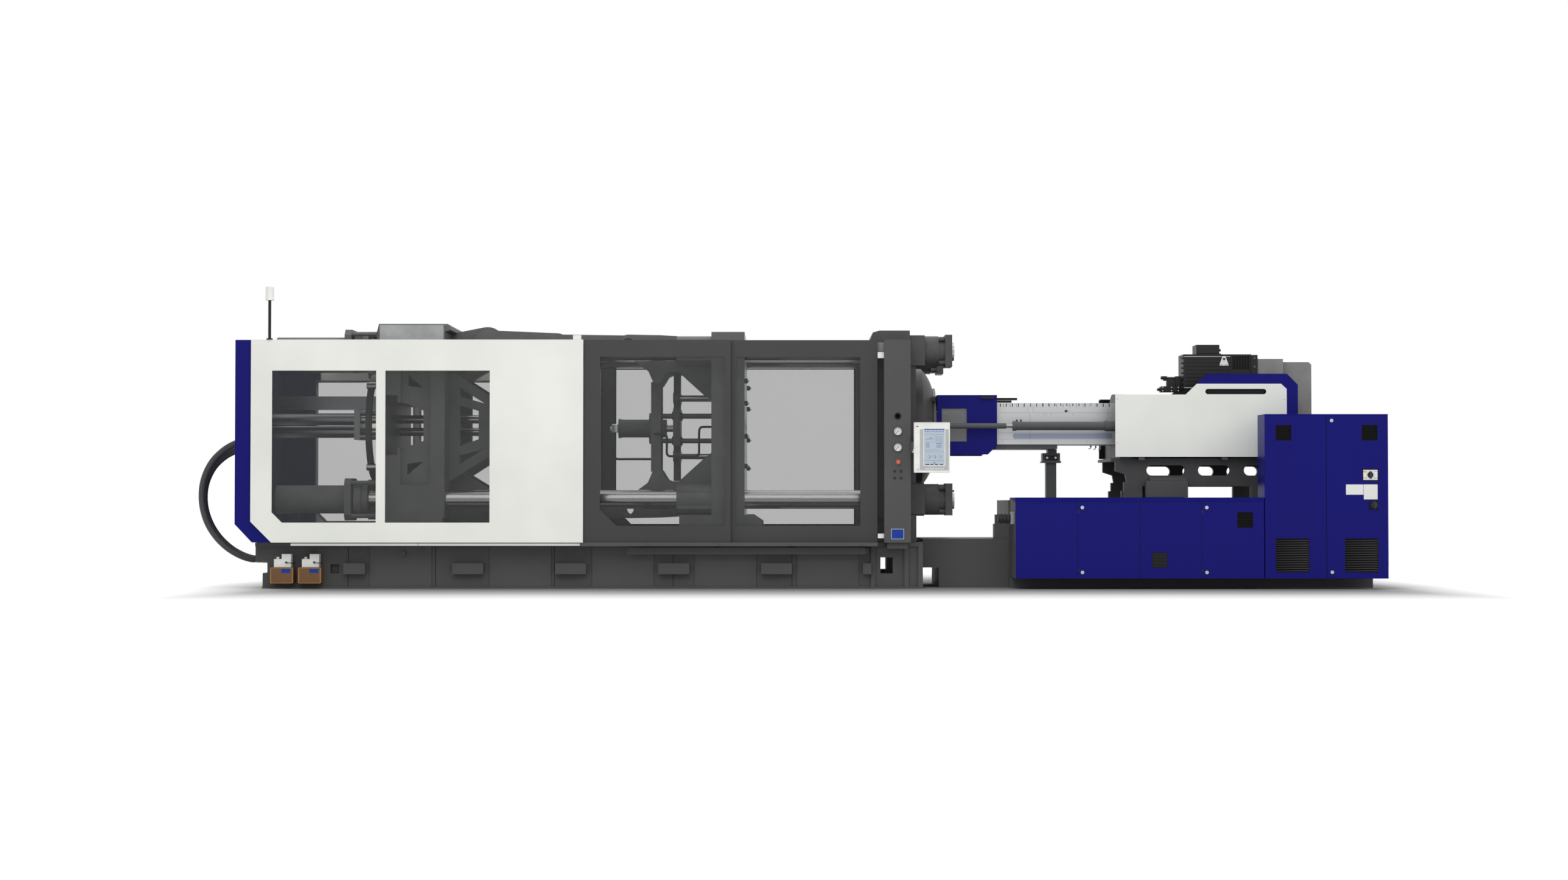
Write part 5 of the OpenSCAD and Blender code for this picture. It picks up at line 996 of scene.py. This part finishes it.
class MACHINE_OT_barrel_cover_details(bpy.types.Operator):
    """Lid seams, lock, strip, rivets, slots and the small cocks of the barrel cover"""

    bl_idname = "machine.barrel_cover_details"
    bl_label = "Barrel cover details"

    def execute(self, context):
        def strip(x0, z0, x1, z1):
            """A thin flat strip on the cover's near side, from corner to corner."""
            return plate(x1 - x0, z1 - z0, 0.0009, ((x0 + x1) / 2, COVER_FACE, (z0 + z1) / 2), 0.0005, 0.0002)

        seams = [strip(1.340, 1.7755, 1.640, 1.7775), strip(1.638, 1.776, 1.640, 1.850),
                 strip(1.690, 1.7755, 2.520, 1.7775), strip(1.690, 1.776, 1.692, 1.850),
                 strip(1.326, 1.5715, 2.530, 1.5730), strip(1.326, 1.5010, 2.530, 1.5025)]
        seams += [strip(x, 1.500, x + 0.0025, 1.785) for x in (1.658, 2.455)]
        piece("barrel_cover_seams", seams, "seam grey", "carriage")
        piece("barrel_cover_strip", [plate(1.020, 0.054, 0.0012, (1.995, COVER_FACE + 0.0022, 1.537), 0.020)],
              "bluish steel strip", "carriage")
        piece("barrel_cover_lock", [raised(circle(0.026, 24), [(0, 0), (0, 0.003), (0.002, 0.004)], "-Y",
                                           (2.028, COVER_FACE + 0.0003, 1.793)),
                                    plate(0.020, 0.006, 0.0045, (2.044, COVER_FACE + 0.0003, 1.795), 0.002)],
              "black nylon", "carriage")
        rivets = [(x, COVER_FACE + 0.0003, 1.482) for x in (1.375, 1.66, 1.95, 2.24, 2.50)]
        rivets += [(x, COVER_FACE + 0.0003, 1.760) for x in (1.80, 1.82, 1.88, 2.10, 2.35)]
        piece("barrel_cover_rivets", screw_heads(rivets, "-Y", 0.007, 0.0018), "black nylon", "carriage")
        slots = [block((x, COVER_FACE - 0.0008, 1.8330), (x + 0.003, COVER_FACE + 0.0005, 1.8700), 0.0003)
                 for x in 1.3865 + 0.0679 * np.arange(17)]
        del slots[4]  # the lid's joint takes the place of the fifth
        piece("barrel_cover_slots", slots, "vent black", "carriage")
        cocks, knobs, y = [], [], -0.270
        for k, x in enumerate((2.285, 2.335, 2.385)):
            drop = 1.408 - 0.004 * k
            cocks.append(tube(smooth_path([(x, y, 1.4500), (x, y, drop + 0.012), (x - 0.006, y, drop),
                                           (x - 0.024, y, drop - 0.002)], 5), 0.009, 10))
            cocks.append(block((x - 0.008, y - 0.009, drop + 0.014), (x + 0.008, y + 0.009, drop + 0.030), 0.002))
            knobs.append(raised(circle(0.015, 14), [(0, 0), (0, 0.010), (0.002, 0.012)], "-Y",
                                (x, y - 0.0085, drop + 0.022)))
        piece("cover_cocks", cocks, "machined steel", "carriage")
        piece("cover_cock_knobs", knobs, "black nylon", "carriage")
        return {"FINISHED"}


class MACHINE_OT_unit_details(bpy.types.Operator):
    """Screws and grips of the side covers, valve block, fittings of the motor"""

    bl_idname = "machine.unit_details"
    bl_label = "Injection unit details"

    def execute(self, context):
        screws = [(x, UNIT_FACE - 0.0002, z) for x in (2.505, 4.19) for z in (1.46, 1.90)]
        piece("unit_cover_screws", screw_heads(screws, "-Y", 0.014, 0.003), "zinc plated steel", "carriage")
        grip = [plate(0.600, 0.036, 0.0015, (3.7005, UNIT_FACE + 0.0375, 1.982), 0.017)]
        piece("unit_cover_grip_back", grip, "dark grip grey", "carriage")

        # Valve block on the motor's near end: manifold, two spool valves with solenoids, and a cock
        steel, black, knobs = [], [], []
        black.append(block((3.000, -0.330, 1.988), (3.190, -0.190, 2.046), 0.004))
        black.append(block((3.150, -0.300, 1.990), (3.224, -0.200, 2.150), 0.004))
        black.append(block((3.062, -0.318, 2.046), (3.152, -0.240, 2.104), 0.004))
        for x0, x1, z, d in ((3.006, 3.068, 2.134, 0.036), (3.058, 3.150, 2.128, 0.030), (2.968, 3.002, 2.014, 0.030)):
            black.append(raised(circle(d, 20), [(0.003, 0), (0, 0.003), (0, x1 - x0 - 0.003), (0.003, x1 - x0)],
                                "+X", (x0, VALVE_Y, z)))
        black.append(block((3.030, -0.300, 2.104), (3.150, -0.258, 2.118), 0.002))
        for x, z in ((3.000, 2.134), (2.963, 2.014), (3.150, 2.128)):
            knobs.append(raised(circle(0.022, 12), [(0.002, 0), (0, 0.002), (0, 0.010), (0.002, 0.012)], "+X",
                                (x, VALVE_Y, z)))
        for x in (3.016, 3.106, 3.176):
            for z in (2.000, 2.034):
                steel.append((x, -0.3302, z))
        piece("valve_block", black, "motor black enamel", "drive")
        piece("valve_block_knobs", knobs, "machined steel", "drive")
        piece("valve_block_screws", screw_heads(steel, "-Y", 0.013, 0.007), "zinc plated steel", "drive")

        lug = np.array([(-0.045, -0.048), (0.045, -0.048), (0.045, -0.034), (0.014, 0.050), (-0.014, 0.050),
                        (-0.045, -0.034)])
        lug_back, lug_face = MOTOR_FACE - 0.0003, MOTOR_FACE - 0.0103
        piece("lifting_lug", [raised(lug, [(0, 0), (0, 0.009), (0.001, 0.010)], "-Y", (LUG_X, lug_back, 2.302))],
              "plain label", "drive")
        piece("lifting_lug_eye", [raised(circle(0.026, 24), [(0, 0), (0.0005, 0.0006)], "-Y",
                                         (LUG_X, lug_face, 2.322))], "black nylon", "drive")
        piece("lifting_lug_screws", hex_heads([(LUG_X + dx, lug_face, 2.270) for dx in (-0.026, 0.026)], "-Y", 0.014,
                                              0.008), "zinc plated steel", "drive")
        piece("terminal_box_lid", [plate(0.222, 0.078, 0.006, (3.480, -0.3302, 2.420), 0.010, 0.002)],
              "motor black enamel", "drive")
        piece("terminal_box_gland", [raised(circle(0.032, 20), [(0, 0), (0, 0.010), (0.003, 0.010), (0.003, 0.022),
                                                                (0.006, 0.024)], "+X", (3.5983, -0.26, 2.418))],
              "black nylon", "drive")
        cowl = [block((3.2005, MOTOR_FACE - 0.002, z), (3.2235, -0.340, z + 0.019), 0.004)
                for z in 2.021 + 0.05 * np.arange(7)]
        piece("fan_cowl_lugs", cowl, "motor black enamel", "drive")
        rails = [block((3.2300, MOTOR_FACE - 0.0035, z), (3.700, MOTOR_FACE + 0.0005, z + 0.007), 0.001)
                 for z in (2.345, 2.026)]
        piece("motor_body_rails", rails, "machined steel", "drive")
        piece("motor_flange_screws", hex_heads([(3.9465, -0.3853, z) for z in (2.06, 2.15, 2.24, 2.33)], "-Y", 0.018,
                                               0.010), "rod grey enamel", "drive")
        return {"FINISHED"}


class MACHINE_OT_carriage_details(bpy.types.Operator):
    """Clamp on the barrel post, ribbed gland, box of the carriage drive, ring at the dished back"""

    bl_idname = "machine.carriage_details"
    bl_label = "Carriage details"

    def execute(self, context):
        piece("post_clamp", [block((1.835, -0.0960, 1.296), (1.962, -0.0802, 1.340), 0.004)],
              "motor black enamel", "frame")
        piece("post_clamp_screws", hex_heads([(x, -0.0962, 1.318) for x in (1.855, 1.942)], "-Y", 0.016, 0.009),
              "zinc plated steel", "frame")
        run = np.linspace(1.2580, 1.3790, 60)
        gland = tube(np.stack([run, np.full(60, -1.190), np.full(60, 0.6970)], -1), 0.100, 28, 0.24, 0.0345)
        piece("ribbed_gland", [gland], "black nylon", "frame", 50)
        piece("gland_flange", [block((1.3785, -1.250, 0.640), (1.4196, -1.130, 0.764), 0.006)],
              "light grey enamel", "frame")
        # Box over the carriage's drive cylinder, in front of the near cheek
        piece("carriage_drive_box", [block((2.800, -0.640, 0.9070), (3.225, -0.5502, 1.0750), 0.004),
                                     block((2.838, -0.636, 1.0745), (3.212, -0.5502, 1.1090), 0.003)],
              "bed panel enamel", "carriage")
        piece("nozzle_guard_ring", [ring_shell(0.810, 0.690, 0.026, (0.6705, 0, AXIS_Z), "+X", 96)],
              "light grey enamel", "frame", 50)
        return {"FINISHED"}


# ---- clamp side --------------------------------------------------------------------------------

BED_FACE = -1.000  # near face of the bed's beams, behind their side sheets


class MACHINE_OT_bed_details(bpy.types.Operator):
    """Painted shadow lines at the edges of the bed's side sheets, the light strip of the gate track, stops and small
    blocks
    """

    bl_idname = "machine.bed_details"
    bl_label = "Bed details"

    def execute(self, context):
        # dark strips on the beams' face beside the side sheets' edges: painted shadow of the raised sheets
        seams = [block((x, BED_FACE - 0.0030, 0.020), (x + 0.004, BED_FACE + 0.0010, 0.416), 0.0008)
                 for x in (-5.203, -4.333, -3.149, -1.966, -0.783)]
        piece("bed_painted_shadow_lines", seams, "vent black", "frame")
        piece("gate_track_strip", [plate(1.255, 0.022, 0.0015, (-5.095, -1.2942, 0.4405), 0.002),
                                   plate(1.590, 0.022, 0.0015, (-3.668, -1.2942, 0.4405), 0.002)],
              "shaded white powder coat", "frame")
        white = [block((0.066, -1.268, 2.282), (0.1285, -1.222, 2.342), 0.003),
                 block((0.066, -1.268, 0.502), (0.1285, -1.222, 0.548), 0.003),
                 block((-2.943, -1.296, 2.4645), (-2.862, -1.266, 2.508), 0.003)]
        piece("gate_stop_blocks", white, "white moulding", "frame")
        piece("track_bolts", hex_heads([(x, -1.2942, 0.446) for x in (-2.2, -1.5, -0.8, -0.1)], "-Y", 0.015, 0.005),
              "rail enamel", "frame")
        return {"FINISHED"}


class MACHINE_OT_clamp_details(bpy.types.Operator):
    """Ring gear of the die height drive, bare cast pad, clamps on the mould face, pipes of the ejector"""

    bl_idname = "machine.clamp_details"
    bl_label = "Clamp details"

    def execute(self, context):
        tail, moving = BODY["tail_platen"], BODY["moving_platen"]
        piece("adjusting_ring_gear", [ring_shell(1.100, 0.980, 0.060, (-5.110, 0, AXIS_Z), "+X", 96)],
              "platen casting", tail, 50)
        out = 0.589 * math.sqrt(0.5)  # the four rollers stand on the diagonals, 589 mm from the axis
        rollers = [raised(circle(0.070, 20), [(0.003, 0), (0, 0.003), (0, 0.171), (0.003, 0.174)], "+X",
                          (-5.1145, out * y, AXIS_Z + out * z)) for y, z in ((1, 1), (-1, 1), (-1, -1), (1, -1))]
        piece("ring_gear_rollers", rollers, "machined steel", tail)
        piece("tail_cast_pad", [plate(0.640, 0.150, 0.0012, (-4.592, -0.9002, 2.5600), 0.006)],
              "cast light grey enamel", tail)
        places = [(y, z) for z in (2.076, 1.852, 1.520, 1.220) for y in (-0.835, 0.835)]
        clamps = [block((-1.2547, y - 0.035, z - 0.024), (-1.2250, y + 0.035, z + 0.024), 0.003) for y, z in places]
        bolts = [(-1.2249, y, z) for y, z in places]
        piece("mould_clamps", clamps, "black enamel", moving)
        piece("mould_clamp_bolts", hex_heads(bolts, "+X", 0.024, 0.014), "machined steel", moving)

        piece("ejector_valve", [block((-2.640, -0.050, 1.580), (-2.5725, 0.050, 1.666), 0.004),
                                block((-2.660, -0.030, 1.600), (-2.6395, 0.030, 1.640), 0.004)],
              "zinc plated steel", moving)
        # routes in X and Z; the second starts at the beam's near side and comes out to its own plane
        short, near, start = -0.030, -0.302, [(-2.180, -0.2625, 1.560), (-2.180, -0.290, 1.560)]
        down = [(-2.610, 1.582), (-2.610, 1.450), (-2.610, 1.340), (-2.600, 1.314), (-2.574, 1.305), (-2.450, 1.305),
                (-2.2245, 1.305)]
        loop = [(-2.150, 1.560), (-2.085, 1.555), (-2.060, 1.525), (-2.060, 1.430), (-2.060, 1.365), (-2.048, 1.339),
                (-2.020, 1.330), (-1.900, 1.330), (-1.770, 1.330), (-1.740, 1.342), (-1.730, 1.372), (-1.730, 1.480),
                (-1.728, 1.590), (-1.716, 1.620), (-1.690, 1.630), (-1.5885, 1.630)]
        routes = (([(x, short, z) for x, z in down], 5), (start + [(x, near, z) for x, z in loop], 4))
        pipes = [tube(smooth_path(points, steps), 0.024, 12) for points, steps in routes]
        piece("ejector_pipes", pipes, "black enamel", moving, 50)
        return {"FINISHED"}


STEPS = (MACHINE_OT_camera, MACHINE_OT_hoses, MACHINE_OT_stage, MACHINE_OT_finishes, MACHINE_OT_mixed_finishes,
         MACHINE_OT_operator_panel, MACHINE_OT_gauges, MACHINE_OT_cabinet_fittings, MACHINE_OT_lubricators,
         MACHINE_OT_barrel_cover_details, MACHINE_OT_unit_details, MACHINE_OT_carriage_details, MACHINE_OT_bed_details,
         MACHINE_OT_clamp_details)


# ---- panel, registration and the run -----------------------------------------------------------


class MACHINE_PT_pieces(bpy.types.Panel):
    """Lists the operators and the settings"""

    bl_idname = "MACHINE_PT_pieces"
    bl_label = "Injection moulding machine"
    bl_space_type = "VIEW_3D"
    bl_region_type = "UI"
    bl_category = "Machine"

    def draw(self, context):
        for operator in STEPS:
            self.layout.operator(operator.bl_idname)
        for name in MachineSettings.__annotations__:
            self.layout.prop(context.scene.machine, name)


CLASSES = (MachineSettings, *STEPS, MACHINE_PT_pieces)


def register():
    """Makes the panel, the operators and the settings known to Blender."""
    for cls in CLASSES:
        bpy.utils.register_class(cls)
    bpy.types.Scene.machine = PointerProperty(type=MachineSettings)


def unregister():
    """Takes them out again, in the opposite order."""
    del bpy.types.Scene.machine
    for cls in reversed(CLASSES):
        bpy.utils.unregister_class(cls)


def main():
    """Runs every step in order."""
    register()
    for operator in STEPS:
        group, name = operator.bl_idname.split(".")
        getattr(getattr(bpy.ops, group), name)()


if __name__ == "__main__":
    main()
